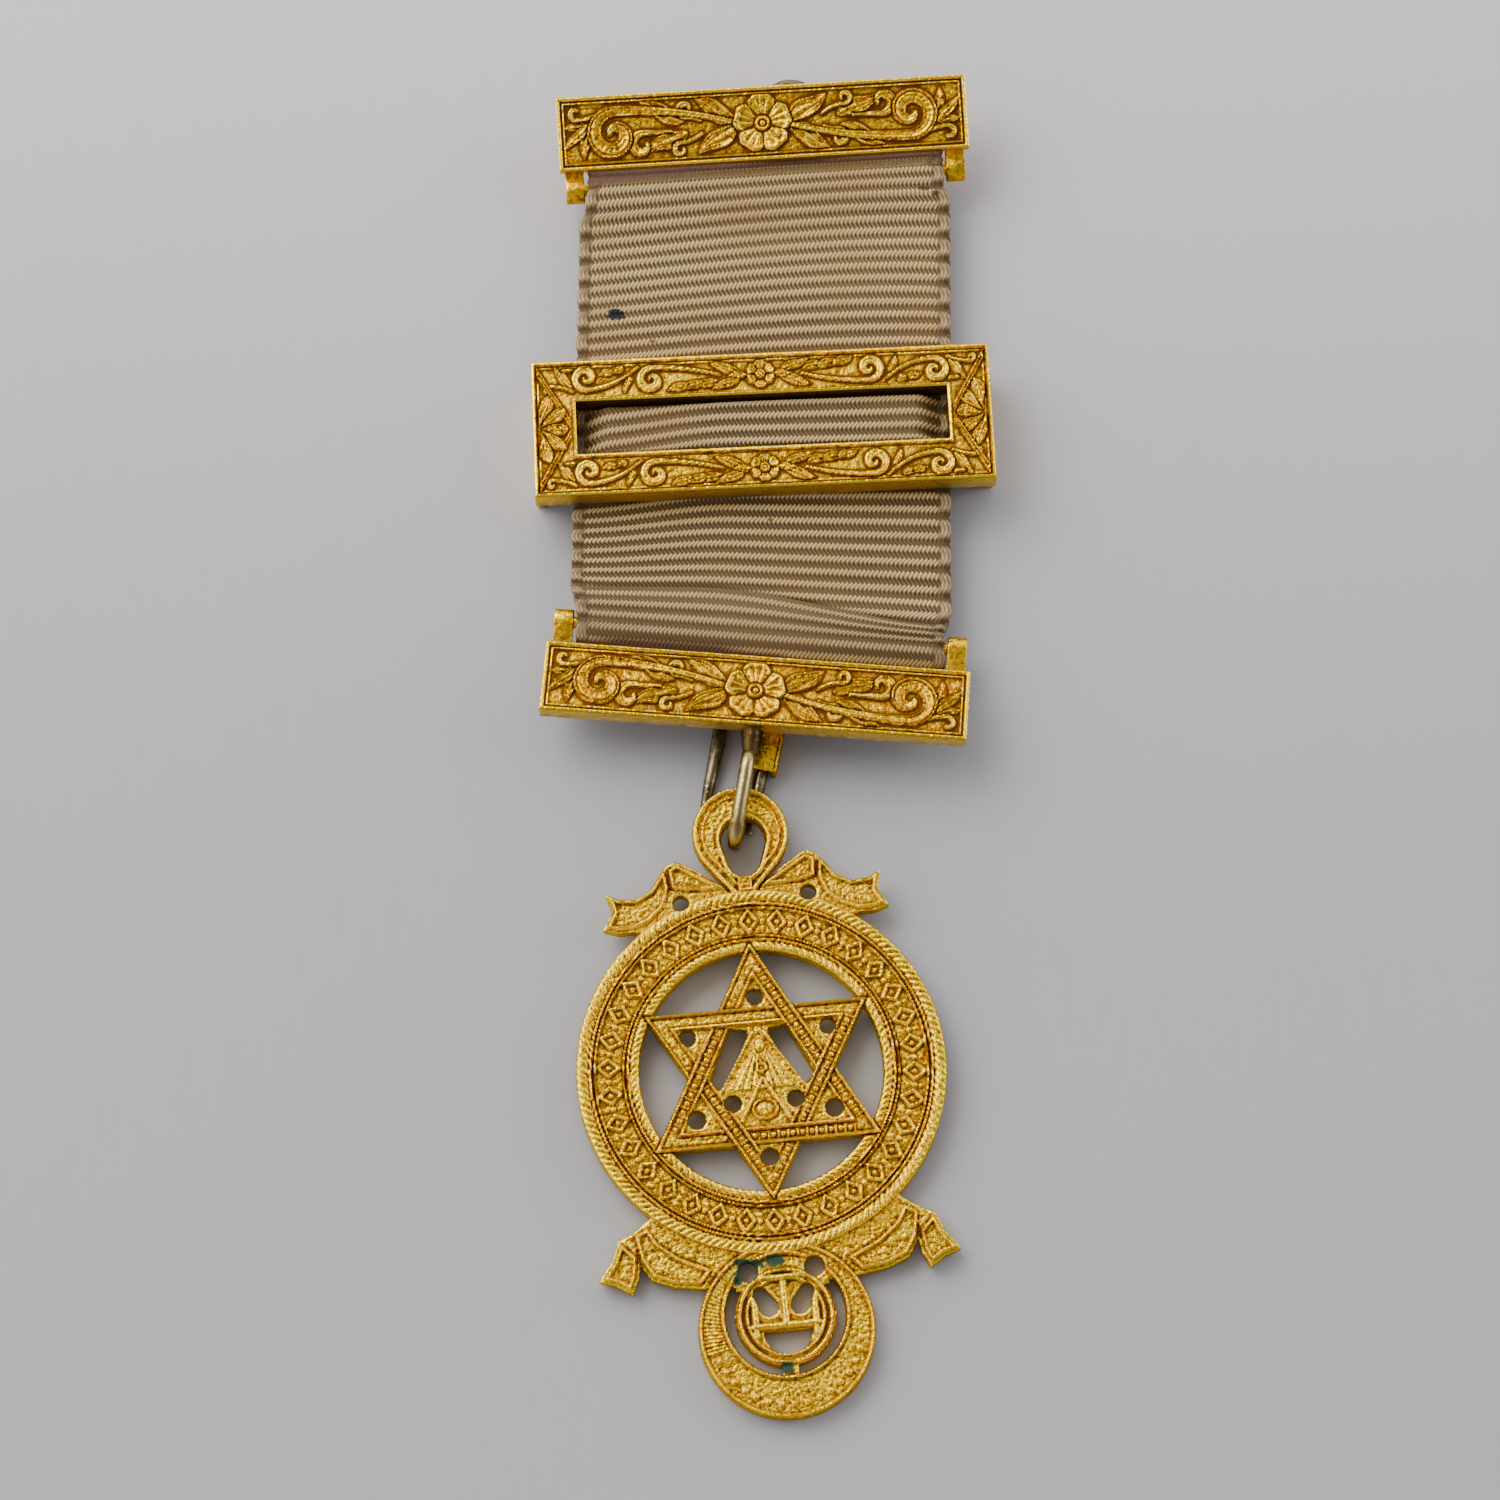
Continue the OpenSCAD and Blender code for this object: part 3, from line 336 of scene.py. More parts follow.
def gilt(name, gold, deep, pale=PALE, stipple=0.5, warm=0.5, grain_scale=2700, green=(), stain=0.0):
    """Gilding: two golds and a pale tone for worn edges and painted highlights, then the shares of stipple,
    of warm patches and of stains.
    """
    f = Finish(name, Metallic=1.0, Specular_Tint=(1.0, 0.72, 0.22, 1))
    recess_dirt_and_shade, rub_and_highlight = f.value("recess_dirt_and_shade"), f.value("rub_and_highlight")
    cloudy, patchy, grain = f.noise(160, 3), f.noise(700, 4, 0.6), f.noise(grain_scale, 2, 0.55)
    spots = f.noise(2100, 3, 0.7)
    base = (cloudy.step(0.35, 0.7) * warm).between((*gold, 1), (*deep, 1))
    base = (patchy.step(0.55, 0.85) * 0.1).between(base, pale)
    # The stipple's pits are painted dark and its peaks pale: painted shade and glints on the punch marks.
    base = ((0.485 - grain) * 12.0 * stipple).clamp().between(base, PIT_SHADE)
    base = ((grain - 0.53) * 12.0 * stipple).clamp().between(base, pale)
    base = (f.noise(420, 3).step(0.50, 0.68) * stain).between(base, STAIN)
    # Walls painted pale silver: rubbed through, and a painted reflection of the bright room.
    base = f.value("bare").between(base, SILVER_AND_REFLECTION)
    # Recesses and cut lines painted brown: dirt, and painted shade.
    dirt_and_shade = (recess_dirt_and_shade * (0.95 + 0.4 * patchy)).clamp()
    base = dirt_and_shade.between(base, DIRT_AND_SHADE)
    base = (spots.step(0.64, 0.76) * recess_dirt_and_shade * 0.5).clamp().between(base, SPECK)
    # Crests painted pale: worn gilding, and painted highlights.
    worn_and_highlit = (rub_and_highlight * (0.75 + 0.4 * cloudy)).clamp()
    base, rough = worn_and_highlit.between(base, pale), 0.20 + 0.16 * patchy + 0.3 * dirt_and_shade - 0.05 * worn_and_highlit
    if green:
        crust = 0.0
        for at, half in green:
            crust = (f.spot(at, half, spots) + crust).clamp()
        base, rough = crust.between(base, patchy.between(GREEN, PALE_GREEN)), rough + 0.6 * crust
        f.feed(Metallic=1 - crust)
    f.feed(Base_Color=base, Roughness=rough.clamp())
    f.bumps((patchy, 0.018, 0.4), (grain, 0.17, stipple))
    return f.material


# Green crust in the medal's lower joints: place and half size in mm
VERDIGRIS = [((-1.2, -45.9), (1.5, 0.45)), ((0.9, -45.6), (0.9, 0.55)), ((-2.0, -47.0), (0.45, 0.7)),
             ((1.9, -54.2), (0.6, 0.55))]
slide_gilt = gilt("slide_gilt", (0.84, 0.49, 0.001), (0.76, 0.38, 0.001), stipple=0.7)
top_gilt = gilt("top_bar_gilt", (0.98, 0.53, 0.001), (0.86, 0.39, 0.001), stipple=0.7, warm=0.7)
# The lower bar's gilding is a darker copy of the others: painted shade that offsets the bright panel its
# tilted face reflects.
low_gilt = gilt("lower_bar_gilt", (0.60, 0.30, 0.001), (0.54, 0.225, 0.001), (0.84, 0.54, 0.012, 1), 0.8, 0.6)
medal_gilt = gilt("medal_gilt", (0.92, 0.54, 0.001), (0.88, 0.41, 0.001), stipple=0.8, grain_scale=3200,
                  green=VERDIGRIS)
plain_gilt = gilt("plain_gilt", (0.96, 0.56, 0.002), (0.86, 0.44, 0.002), stain=0.4)
print("gildings:", [material.name for material in (slide_gilt, top_gilt, low_gilt, medal_gilt, plain_gilt)])


# %% Worn silver and old steel
def old_wire(name, base, brown, light, rough):
    f = Finish(name, Metallic=1.0)
    cloud, fine = f.noise(500, 4, 0.6), f.noise(2600, 3, 0.6)
    tone = cloud.step(0.35, 0.7).between(colour(*base), colour(*brown))
    tone = (fine.step(0.55, 0.75) * 0.6).between(tone, colour(*light))
    f.feed(Base_Color=tone, Roughness=(rough + 0.25 * cloud).clamp())
    f.bumps((fine, 0.02, 0.5))
    return f.material


ring_silver = old_wire("ring_silver", (160, 140, 88), (100, 74, 32), (232, 220, 184), 0.15)
# The solder under the bar's edge is painted the dark brown it shows in the bar's shadow: painted shade.
solder_shaded_brown = old_wire("solder_shaded_brown", (92, 70, 40), (50, 34, 16), (150, 128, 88), 0.30)
pin_steel = old_wire("pin_steel", (128, 116, 84), (62, 52, 34), (214, 206, 176), 0.22)
print("worn metals:", [material.name for material in (ring_silver, solder_shaded_brown, pin_steel)])

# %% Ribbed silk
THREAD, EDGE_THREAD, EDGE_AT = 0.37, 0.34, 15.0
# Colours of the ribs' valleys, painted in shade, and of their crests, painted lit; each pair blends by a
# cloud.
SILK_SHADED = ((0.048, 0.022, 0.003, 1), (0.074, 0.036, 0.006, 1))
SILK_LIT = ((0.66, 0.455, 0.20, 1), (0.53, 0.35, 0.135, 1))
EDGE_SILK = ((0.17, 0.105, 0.040, 1), (0.43, 0.31, 0.165, 1))
# The third colour on the next line and both on the line after are painted shade: where the cloth folds under
# itself, on its turn over the upper rod, and on its dark turn round the lower rod.
BETWEEN_LOOPS, IN_GROOVE, UNDER_SHADE = (0.075, 0.042, 0.012, 1), (0.085, 0.047, 0.014, 1), (0.115, 0.078, 0.040, 1)
TURN_TOP_SHADE, TURN_LOW_SHADE = (0.27, 0.155, 0.11, 1), (0.060, 0.026, 0.013, 1)
# Stains on the ribbon: place and half size in mm, and colour with its strength
INK, RUST, RED = (0.004, 0.003, 0.003, 1.0), (0.13, 0.05, 0.012, 0.9), (0.060, 0.010, 0.006, 0.9)
SPOTS = [((-12.5, 36.1), (0.85, 0.55), INK), ((-9.4, 33.6), (0.34, 0.18), RUST),
         ((0.6, 17.3), (0.24, 0.17), RUST), ((-5.7, 12.6), (0.28, 0.18), RUST),
         ((14.0, 47.6), (0.55, 0.22), RED), ((14.9, 47.2), (0.3, 0.22), RED),
         ((-15.2, 24.7), (0.5, 1.4), (0.10, 0.030, 0.016, 0.6))]


def silk():
    f = Finish("ribbed_silk", Metallic=0.0, Specular_IOR_Level=0.3)
    across, along, below, turned = (f.value(name) for name in ("across", "along", "below", "turned"))
    wobble, cloud, fine = f.noise(900, 2), f.noise(110, 4, 0.6), f.noise(3000, 2)
    ribs = along / RIB_PITCH
    off = (ribs.fract() - 0.5) * 2
    crest = 1 - off.size()
    lower = (ribs.step(6.0, 17.0) * 0.8 + 0.5 * (cloud - 0.5)).clamp()
    slant = (off * math.pi).sine() * (0.30 + 0.16 * lower)
    thread = ((across / THREAD + slant + wobble * 0.25) * 2 * math.pi).sine() * 0.5 + 0.5
    # Painted light and shade: each rib's crest is painted bright and the valley between ribs dark, for the
    # weave and for the light and shade on the ribs. Threads cross each rib, so its bright crest has a zigzag
    # edge; between ribs they show as dark dots.
    lit = (crest + 0.24 * (thread - 0.5) + 0.14 * (0.65 - lower)).step(0.38, 0.78)
    dots = (1 - lit) * thread * (0.32 - 0.22 * lower)
    painted_sheen = (lit * (0.30 + 0.70 * thread) + dots + 0.12 * (cloud - 0.5)).clamp()
    dark, light = cloud.step(0.35, 0.65).between(*SILK_SHADED), cloud.step(0.3, 0.7).between(*SILK_LIT)
    tone = painted_sheen.between(dark, light)
    # The woven edge: loops two ribs long, with a groove inside them
    edge = across.size().step(EDGE_AT - 0.05, EDGE_AT + 0.15)
    loops = (ribs * math.pi / 2).sine().size()
    strand = ((across.size() - 0.5 * loops) * (2 * math.pi / EDGE_THREAD)).sine() * 0.5 + 0.5
    woven = loops.step(0.35, 0.90).between(BETWEEN_LOOPS, strand.between(*EDGE_SILK))
    groove = 1 - ((across.size() - EDGE_AT) / 0.22).size()
    # Laid over the weave: the woven edge, the groove inside it, painted shade under the fold and on both
    # turns, and the stains.
    for share, over in ((edge * 0.9, woven), (groove.clamp() * 0.7, IN_GROOVE),
                        ((below * 0.45).clamp(), UNDER_SHADE), (turned.clamp(), TURN_TOP_SHADE),
                        ((0 - turned).clamp(), TURN_LOW_SHADE),
                        *((f.spot(at, half, fine) * stain[3], stain) for at, half, stain in SPOTS)):
        tone = share.between(tone, over)
    f.feed(Base_Color=tone, Roughness=(0.62 - 0.2 * painted_sheen + 0.1 * fine).clamp())
    f.bumps((thread, 0.06, 0.7), (fine, 0.02, 0.4))
    return f.material


ribbed_silk = silk()
print(f"{ribbed_silk.name}: {len(ribbed_silk.node_tree.nodes)} nodes, {len(SPOTS)} stains")


# %% Floor
def table():
    """Painted light: lighter at the far side of the picture, toward the window, and darker near it, with a
    faint mottle.
    """
    f = Finish("pale_table", Metallic=0.0)
    wide, fine = f.noise(14, 4), f.noise(900, 3, 0.6, stretch=(1.0, 0.25, 1))
    # The painted fall of light: the far side is painted lighter than the near side.
    up = f.node("ShaderNodeSeparateXYZ", {0: f.place}, out=1).step(-0.02, 0.10)
    mottle = (wide * 0.5 + fine * 0.3).clamp()
    near = mottle.between(colour(166, 164, 167), colour(158, 156, 159))
    far = mottle.between(colour(203, 195, 195), colour(195, 187, 187))
    f.feed(Base_Color=up.between(near, far), Roughness=(0.55 + 0.2 * fine).clamp())
    f.bumps((fine, 0.01, 0.3))
    return f.material


def clear():
    if bpy.context.object and bpy.context.object.mode != "OBJECT":
        bpy.ops.object.mode_set(mode="OBJECT")
    bpy.ops.object.select_all(action="DESELECT")


clear()
FLOOR = 8  # metres, far past the edge of any picture
bpy.ops.mesh.primitive_plane_add(size=FLOOR, location=(0, 0, 0))
floor = bpy.context.object
floor.name = "pale_table"
floor.data.materials.append(table())
floor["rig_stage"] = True
print(f"{floor.name}: {FLOOR} m square")

# %% [markdown]
# ## Relief, worked out from distance
# Cast and chased relief is a skin of heights: a ridge along a line, a dome over a leaf, a bead. Each form
# is described by how far a point lies from it, and the highest form wins, as when a chaser lays one
# over another. A fine grid is then raised to those heights, cut to its outline and given walls and a
# back. Hand modelling gives no crisp lines this small, so here the heights are sums.


# %% Distances
def to_line(x, y, a, b):
    """Distance from the points to a segment, the share along it, and which side they lie on."""
    dx, dy = b[0] - a[0], b[1] - a[1]
    t = np.clip(((x - a[0]) * dx + (y - a[1]) * dy) / (dx * dx + dy * dy + 1e-12), 0, 1)
    ex, ey = x - a[0] - t * dx, y - a[1] - t * dy
    return np.hypot(ex, ey), t, np.sign(dx * ey - dy * ex)


def to_shape(x, y, points):
    """Signed distance to a closed outline, less than nothing inside."""
    near, inside = np.full(x.shape, 1e9), np.zeros(x.shape, bool)
    for a, b in zip(points, list(points[1:]) + [points[0]]):
        near = np.minimum(near, to_line(x, y, a, b)[0])
        if a[1] != b[1]:
            inside ^= ((a[1] > y) != (b[1] > y)) & (x < (b[0] - a[0]) * (y - a[1]) / (b[1] - a[1]) + a[0])
    return np.where(inside, -near, near)


def to_box(x, y, half_w, half_h, at=(0, 0)):
    return np.maximum(np.abs(x - at[0]) - half_w, np.abs(y - at[1]) - half_h)


def highest(*heights):
    return np.maximum.reduce(heights)


def united(*outlines):
    return np.minimum.reduce(outlines)


def ridge(d, w):
    """A rounded ridge of width w on the line where d is nothing, 1 on its crest."""
    return np.sqrt(np.clip(1 - (2 * d / w) ** 2, 0, 1))


def dip(d, w):
    return np.exp(-(d / w) ** 2)


def soft(d, low, high):
    t = np.clip((d - low) / (high - low), 0, 1)
    return t * t * (3 - 2 * t)


def wrapped(a, step):
    """What is left of an angle or length after whole steps, from minus half a step to half a step."""
    return (a + step / 2) % step - step / 2


def pebbles(x, y, size, seed):
    """Smooth random bumps of one size, -1 to 1, the same each run."""
    rng = np.random.default_rng(seed)
    i, j = (x - x.min()) / size, (y - y.min()) / size
    lattice = rng.uniform(-1, 1, (int(j.max()) + 3, int(i.max()) + 3))
    i0, j0 = i.astype(int), j.astype(int)
    fx, fy = soft(i - i0, 0, 1), soft(j - j0, 0, 1)
    top = lattice[j0, i0] * (1 - fx) + lattice[j0, i0 + 1] * fx
    low = lattice[j0 + 1, i0] * (1 - fx) + lattice[j0 + 1, i0 + 1] * fx
    return top * (1 - fy) + low * fy


STIPPLE = 0.2  # size of the punch marks


# %% A scroll: a stem that curls into a spiral
def spiral(c, r0, r1, a0, sweep, steps=26):
    turns = [(r0 + (r1 - r0) * i / steps, a0 + sweep * i / steps) for i in range(steps + 1)]
    return [(c[0] + r * cos(a), c[1] + r * sin(a)) for r, a in turns]


def stem(root, c, r0, a0, sweep, steps=9):
    e = (c[0] + r0 * cos(a0), c[1] + r0 * sin(a0))
    s, d = math.copysign(1, sweep), math.dist(e, root) * 0.5
    m = (e[0] + s * d * sin(a0), e[1] - s * d * cos(a0))
    return [tuple((1 - t) ** 2 * root[k] + 2 * t * (1 - t) * m[k] + t * t * e[k] for k in (0, 1))
            for t in (i / steps for i in range(steps))]


def along_path(x, y, path, wide, thin):
    """The nearest run of a path that is thin at both ends: distance outside it, share across, length
    along, and half its width there."""
    best, across, length, local = np.full(x.shape, 1e9), *np.zeros((3, *x.shape))
    run = 0.0
    for i, (a, b) in enumerate(zip(path, path[1:])):
        d, t, side = to_line(x, y, a, b)
        w = (thin + (wide - thin) * np.sin(np.pi * ((i + t) / (len(path) - 1)) ** 1.15) ** 1.3) / 2
        near = d - w < best
        best, across = np.where(near, d - w, best), np.where(near, side * d / w, across)
        length, local = np.where(near, run + t * math.dist(a, b), length), np.where(near, w, local)
        run += math.dist(a, b)
    return best, across, length, local


# %% The heights of a scroll, a leaf and a flower, in shares of the relief
HATCH = 0.46  # distance between the cuts across a wide stem


def scroll_form(x, y, row, size):
    rx, ry, cx, cy, r0, r1, _, _, wide, thin = (v * size for v in row)
    a0, sweep = row[6:8]
    path = stem((rx, ry), (cx, cy), r0, a0, sweep) + spiral((cx, cy), r0, r1, a0, sweep)
    out, s, run, half = along_path(x, y, path, wide, thin)
    s = -s * math.copysign(1, sweep)
    plain = 0.50 + 0.50 * ridge(s, 2) - 0.22 * dip(s + 0.1, 0.2)
    rims = highest(ridge(s - 0.84, 0.32), 0.85 * ridge(s + 0.86, 0.28), 0.5 * ridge(s - 0.30, 0.26))
    hatch = 0.07 * np.cos(run * 2 * np.pi / HATCH + 1.5 * s) * dip(s, 0.45) * soft(half, 0.45, 0.6)
    fine = 0.42 + 0.58 * rims + hatch - 0.16 * dip(np.abs(s) - 0.60, 0.11)
    lined = soft(half, 0.30, 0.45)
    return out, plain * (1 - lined) + fine * lined


def leaf_form(x, y, row, size, belly=0.8):
    root_x, root_y, _, long, wide = (v * size for v in row)
    c, s = cos(row[2]), sin(row[2])
    u = ((x - root_x) * c + (y - root_y) * s) / long
    v = (-(x - root_x) * s + (y - root_y) * c) - 0.08 * wide * np.sin(2 * np.pi * u)
    half = wide / 2 * np.sin(np.pi * np.clip(u, 0.001, 0.999) ** belly) ** 0.8
    q = np.abs(v) / np.maximum(half, 0.03)
    veins = 0.14 * np.cos(q * 2 * np.pi * 2.4 + 9 * u) * dip(q - 0.45, 0.3)
    form = 0.46 + 0.54 * np.maximum(ridge(q - 0.84, 0.32), 0.8 * ridge(v, 0.16)) + veins
    return highest(np.abs(v) - half, -u * long, (u - 1) * long), form


def flower_form(x, y, r, petals, button):
    rho, half_step = np.hypot(x, y), 180 / petals
    phi = wrapped(np.degrees(np.arctan2(y, x)) - 90, 2 * half_step) / half_step
    edge = r * (1.0 - 0.24 * np.abs(phi) ** 4 - 0.04 * dip(phi, 0.16) + 0.012 * np.cos(phi * 14))
    q = rho / edge
    form = (0.38 + 0.36 * soft(q, 0.3, 1.0) + 0.38 * ridge(q - 0.91, 0.2)
            + 0.16 * np.cos(phi * np.pi * 4) * soft(q, 0.25, 0.5) * soft(0.95 - q, 0, 0.15)
            - 0.9 * dip((1 - np.abs(phi)) * rho * tan(half_step), 0.10 * r / 2.3)
            - 0.5 * dip(rho - 1.12 * button, 0.14 * button))
    knob = 0.35 + 0.75 * np.maximum(ridge(rho - 0.76 * button, 0.4 * button), ridge(rho, 0.8 * button))
    return rho - edge, np.where(rho < button, knob, form)


# %% Where the scrolls and leaves lie
# Shares of the bar's height from its middle. Scrolls: root x, y, spiral's middle x, y, first and last radius,
# first angle, sweep, width, width at the ends. Leaves: root x, y, heading, length, width.
BAR_SCROLLS = [
    [0.36, -0.03, 2.02, 0.04, 0.32, 0.06, -90, 430, 0.21, 0.075],
    [0.82, 0.09, 1.13, 0.29, 0.09, 0.04, -90, 290, 0.08, 0.05],
    [1.24, 0.04, 1.64, 0.20, 0.16, 0.06, -90, 290, 0.13, 0.05],
    [0.84, -0.09, 1.03, -0.25, 0.11, 0.05, 90, -270, 0.10, 0.05],
    [2.10, -0.33, 2.52, -0.28, 0.10, 0.04, 90, -200, 0.08, 0.05]]
BAR_LEAVES = [
    [1.02, 0.06, 22, 0.62, 0.24], [1.06, -0.08, -27, 0.66, 0.22], [2.38, -0.13, 12, 0.34, 0.11],
    [2.37, -0.11, 82, 0.46, 0.16], [2.37, -0.12, 46, 0.46, 0.14], [0.36, 0.02, 33, 0.62, 0.27],
    [0.37, -0.05, -32, 0.62, 0.26]]
RAIL_SCROLLS = [
    [0.95, -0.03, 2.50, 0.04, 0.30, 0.05, -90, 430, 0.20, 0.07],
    [2.80, -0.30, 4.00, -0.08, 0.29, 0.05, 90, -430, 0.19, 0.07],
    [4.30, 0.24, 4.84, 0.20, 0.10, 0.04, -90, 250, 0.11, 0.07]]
RAIL_LEAVES = [
    [0.98, 0.11, 14, 0.56, 0.22], [1.32, 0.12, 20, 0.54, 0.22], [1.66, 0.16, 20, 0.50, 0.22],
    [3.12, -0.30, 22, 0.36, 0.18], [3.36, -0.24, 16, 0.34, 0.18], [2.98, -0.14, 74, 0.50, 0.15],
    [4.32, 0.16, -52, 0.66, 0.22], [4.28, -0.30, 8, 0.30, 0.12], [0.46, 0.07, 22, 0.72, 0.22],
    [0.46, -0.06, -19, 0.72, 0.24], [0.30, 0.0, 0, 0.42, 0.18]]
print(f"half a bar has {len(BAR_SCROLLS)} scrolls and {len(BAR_LEAVES)} leaves, half a rail "
      f"{len(RAIL_SCROLLS)} and {len(RAIL_LEAVES)}")


# %% Laying one form over another
class Chasing:
    """Heights over a field, in shares of the relief, and how near the closest form is."""

    def __init__(self, x, y):
        self.height, self.near, self.cut_dirt_and_shade = np.zeros(x.shape), np.full(x.shape, 1e9), np.zeros(x.shape)

    def lay(self, out, form):
        """Lays a form over what is there: its edge is rounded over and leaves a cut line round it."""
        over, low = out < 0, 0.45 * np.clip(0.46 - form, 0, 0.2) / 0.2
        cut = self.height - 0.45 * dip(out - 0.03, 0.10) * (self.near < 0)
        self.height = np.where(over, form * soft(-out, -0.03, 0.09), cut)
        # Painted shade: a wide dark band round each form stands for its shadow as well as dirt in its cut,
        # and the low parts of a form are painted dark too.
        self.cut_dirt_and_shade = np.where(over, low, np.maximum(self.cut_dirt_and_shade, dip(out - 0.09, 0.19)))
        self.near = np.minimum(self.near, out)

    def lay_halves(self, x, y, scrolls, leaves, size):
        """Leaves and scrolls on the right, and the same turned half round on the left."""
        for way in (1, -1):
            for row in leaves:
                self.lay(*leaf_form(way * x, way * y, row, size))
            for row in scrolls[::-1]:
                self.lay(*scroll_form(way * x, way * y, row, size))

    def rimmed(self, x, y, edge, outer, rough, seed, fade, dark_fade, groove, line, shade):
        """The chased field in its raised rim, and its darkening of dirt and painted shade, by the distances
        from any edge and the outer one.

        rough and seed give the stipple, fade and dark_fade where the chasing starts, groove the place and
        width of the cut inside the rim and the place of its dark line, line the fine line's height, place and
        width, and shade the strength and place of the dark line within that line, dirt and painted shade."""
        free = self.near > 0
        face = CHASE_H * (self.height - 0.60 * dip(self.near - 0.09, 0.12) * free)
        face = (face + rough * pebbles(x, y, STIPPLE, seed) * (0.3 + 0.7 * free)) * soft(edge, *fade)
        fine = line[0] * FIELD_D * ridge(outer - line[1], line[2]) - 0.10 * dip(edge - groove[0], groove[1])
        rim = FIELD_D * soft(RIM_W - edge + 0.05, 0.0, 0.10)
        cut_dirt_and_shade = highest(self.cut_dirt_and_shade * soft(edge, *dark_fade), 0.9 * dip(edge - groove[2], 0.07),
                        shade[0] * dip(outer - shade[1], 0.09))
        return eased(np.maximum(face + fine, rim), edge, 0.10, 0.14), cut_dirt_and_shade


def eased(face, edge, by=0.12, over=0.13):
    """Heights with the plate's sharp edge rubbed down."""
    return face - by * (1 - soft(edge, 0.0, over)) ** 2


# %% Handling meshes
def blurred(a, cells):
    """A soft copy of an array, for telling hollows from crests."""
    ky, kx = np.fft.fftfreq(a.shape[0])[:, None], np.fft.rfftfreq(a.shape[1])[None, :]
    return np.fft.irfft2(np.fft.rfft2(a) * np.exp(-2 * (np.pi * cells) ** 2 * (kx * kx + ky * ky)), s=a.shape)


def attribute(obj, name, values):
    layer = obj.data.attributes.get(name) or obj.data.attributes.new(name, "FLOAT", "POINT")
    layer.data.foreach_set("value", np.asarray(values, np.float32).ravel())


def coords(obj):
    co = np.empty(len(obj.data.vertices) * 3, np.float32)
    obj.data.vertices.foreach_get("co", co)
    return co.reshape(-1, 3).astype(float)


def set_coords(obj, co):
    obj.data.vertices.foreach_set("co", np.asarray(co, np.float32).ravel())
    obj.data.update()


def pick(*objects):
    """Selects these alone, the first one active."""
    clear()
    for obj in objects:
        obj.select_set(True)
    bpy.context.view_layer.objects.active = objects[0]


def bake_place(obj):
    """Turns a new primitive's place, turn and scale into its mesh."""
    bpy.ops.object.transform_apply(location=True, rotation=True, scale=True)
    return obj


def close_seams(obj):
    """Joins points that lie on each other, and turns the faces outwards."""
    pick(obj)
    bpy.ops.object.mode_set(mode="EDIT")
    bpy.ops.mesh.select_all(action="SELECT")
    bpy.ops.mesh.remove_doubles(threshold=WELD)
    bpy.ops.mesh.normals_make_consistent(inside=False)
    bpy.ops.object.mode_set(mode="OBJECT")


def settle(obj, name, place, material, angle=50):
    """Names a finished piece, turns its millimetres into metres in place, and gives it its finish."""
    clear()
    obj.name = obj.data.name = name
    obj.data.transform(Matrix.Scale(MM, 4) @ place @ obj.matrix_world)
    obj.matrix_world = Matrix.Identity(4)
    obj.data.materials.clear()
    obj.data.materials.append(material)
    pick(obj)
    bpy.ops.object.shade_smooth_by_angle(angle=math.radians(angle))
    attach(obj, "root")
    obj.data.calc_loop_triangles()
    print(f"{name}: {len(obj.data.loop_triangles)} triangles")
    return obj


# %% The back and walls of a relief plate
# The upper edge of each wall is painted pale: worn, with a painted highlight.
WALL_STEP = 0.12  # how far down a wall its rubbed upper edge goes
NEAR_BLUR, WIDE_BLUR, EDGE_BLUR = 0.13, 0.3, 0.2


def close_back(obj, rim):
    """Fills the flat back with triangles between the rim's edges, and leaves its openings open."""
    mesh = bmesh.new()
    mesh.from_mesh(obj.data)
    mesh.verts.ensure_lookup_table()
    on_rim = [v for v in mesh.verts if rim[v.index]]
    bmesh.ops.remove_doubles(mesh, verts=on_rim, dist=WELD)
    on_rim = [v for v in on_rim if v.is_valid]
    order = {v: i for i, v in enumerate(on_rim)}
    edges = [(order[e.verts[0]], order[e.verts[1]]) for e in mesh.edges
             if e.is_boundary and e.verts[0] in order and e.verts[1] in order]
    _, sides, faces, came_from, ruled, _ = delaunay_2d_cdt([v.co.xy for v in on_rim], edges, [], 0, 1e-7)
    back_verts = [on_rim[came[0]] for came in came_from]
    on_edge = {frozenset(side) for side, rule in zip(sides, ruled) if rule}
    beside = {}
    for i, face in enumerate(faces):
        for j in range(3):
            beside.setdefault(frozenset((face[j - 1], face[j])), []).append(i)
    # From the outside in, each rim edge that is crossed turns outside into inside, or back
    inside, queue = {}, [(pair[0], side in on_edge) for side, pair in beside.items() if len(pair) == 1]
    while queue:
        i, within = queue.pop()
        if i in inside:
            continue
        inside[i] = within
        for j in range(3):
            side = frozenset((faces[i][j - 1], faces[i][j]))
            queue += [(other, within != (side in on_edge)) for other in beside[side] if other not in inside]
    for i, within in inside.items():
        if within:
            mesh.faces.new([back_verts[j] for j in faces[i]])
    bmesh.ops.recalc_face_normals(mesh, faces=mesh.faces)
    open_edges = sum(e.is_boundary for e in mesh.edges)
    mesh.to_mesh(obj.data)
    mesh.free()
    print(f"  back closed with {sum(inside.values())} triangles, {open_edges} open edges")


def cells_kept(grid):
    """The cells that lie inside, with no two that meet at a corner alone, and the points on their edge."""
    kept = (grid[:-1, :-1] + grid[1:, :-1] + grid[:-1, 1:] + grid[1:, 1:]) / 4 < 0
    low_left, high_left, low_right, high_right = kept[:-1, :-1], kept[1:, :-1], kept[:-1, 1:], kept[1:, 1:]
    for _ in range(4):
        high_left |= low_left & high_right & ~high_left & ~low_right
        low_left |= high_left & low_right & ~low_left & ~high_right
    around = np.zeros(grid.shape, int)
    for a in (slice(0, -1), slice(1, None)):
        for b in (slice(0, -1), slice(1, None)):
            around[a, b] += kept
    return kept.ravel(), ((around > 0) & (around < 4)).ravel()


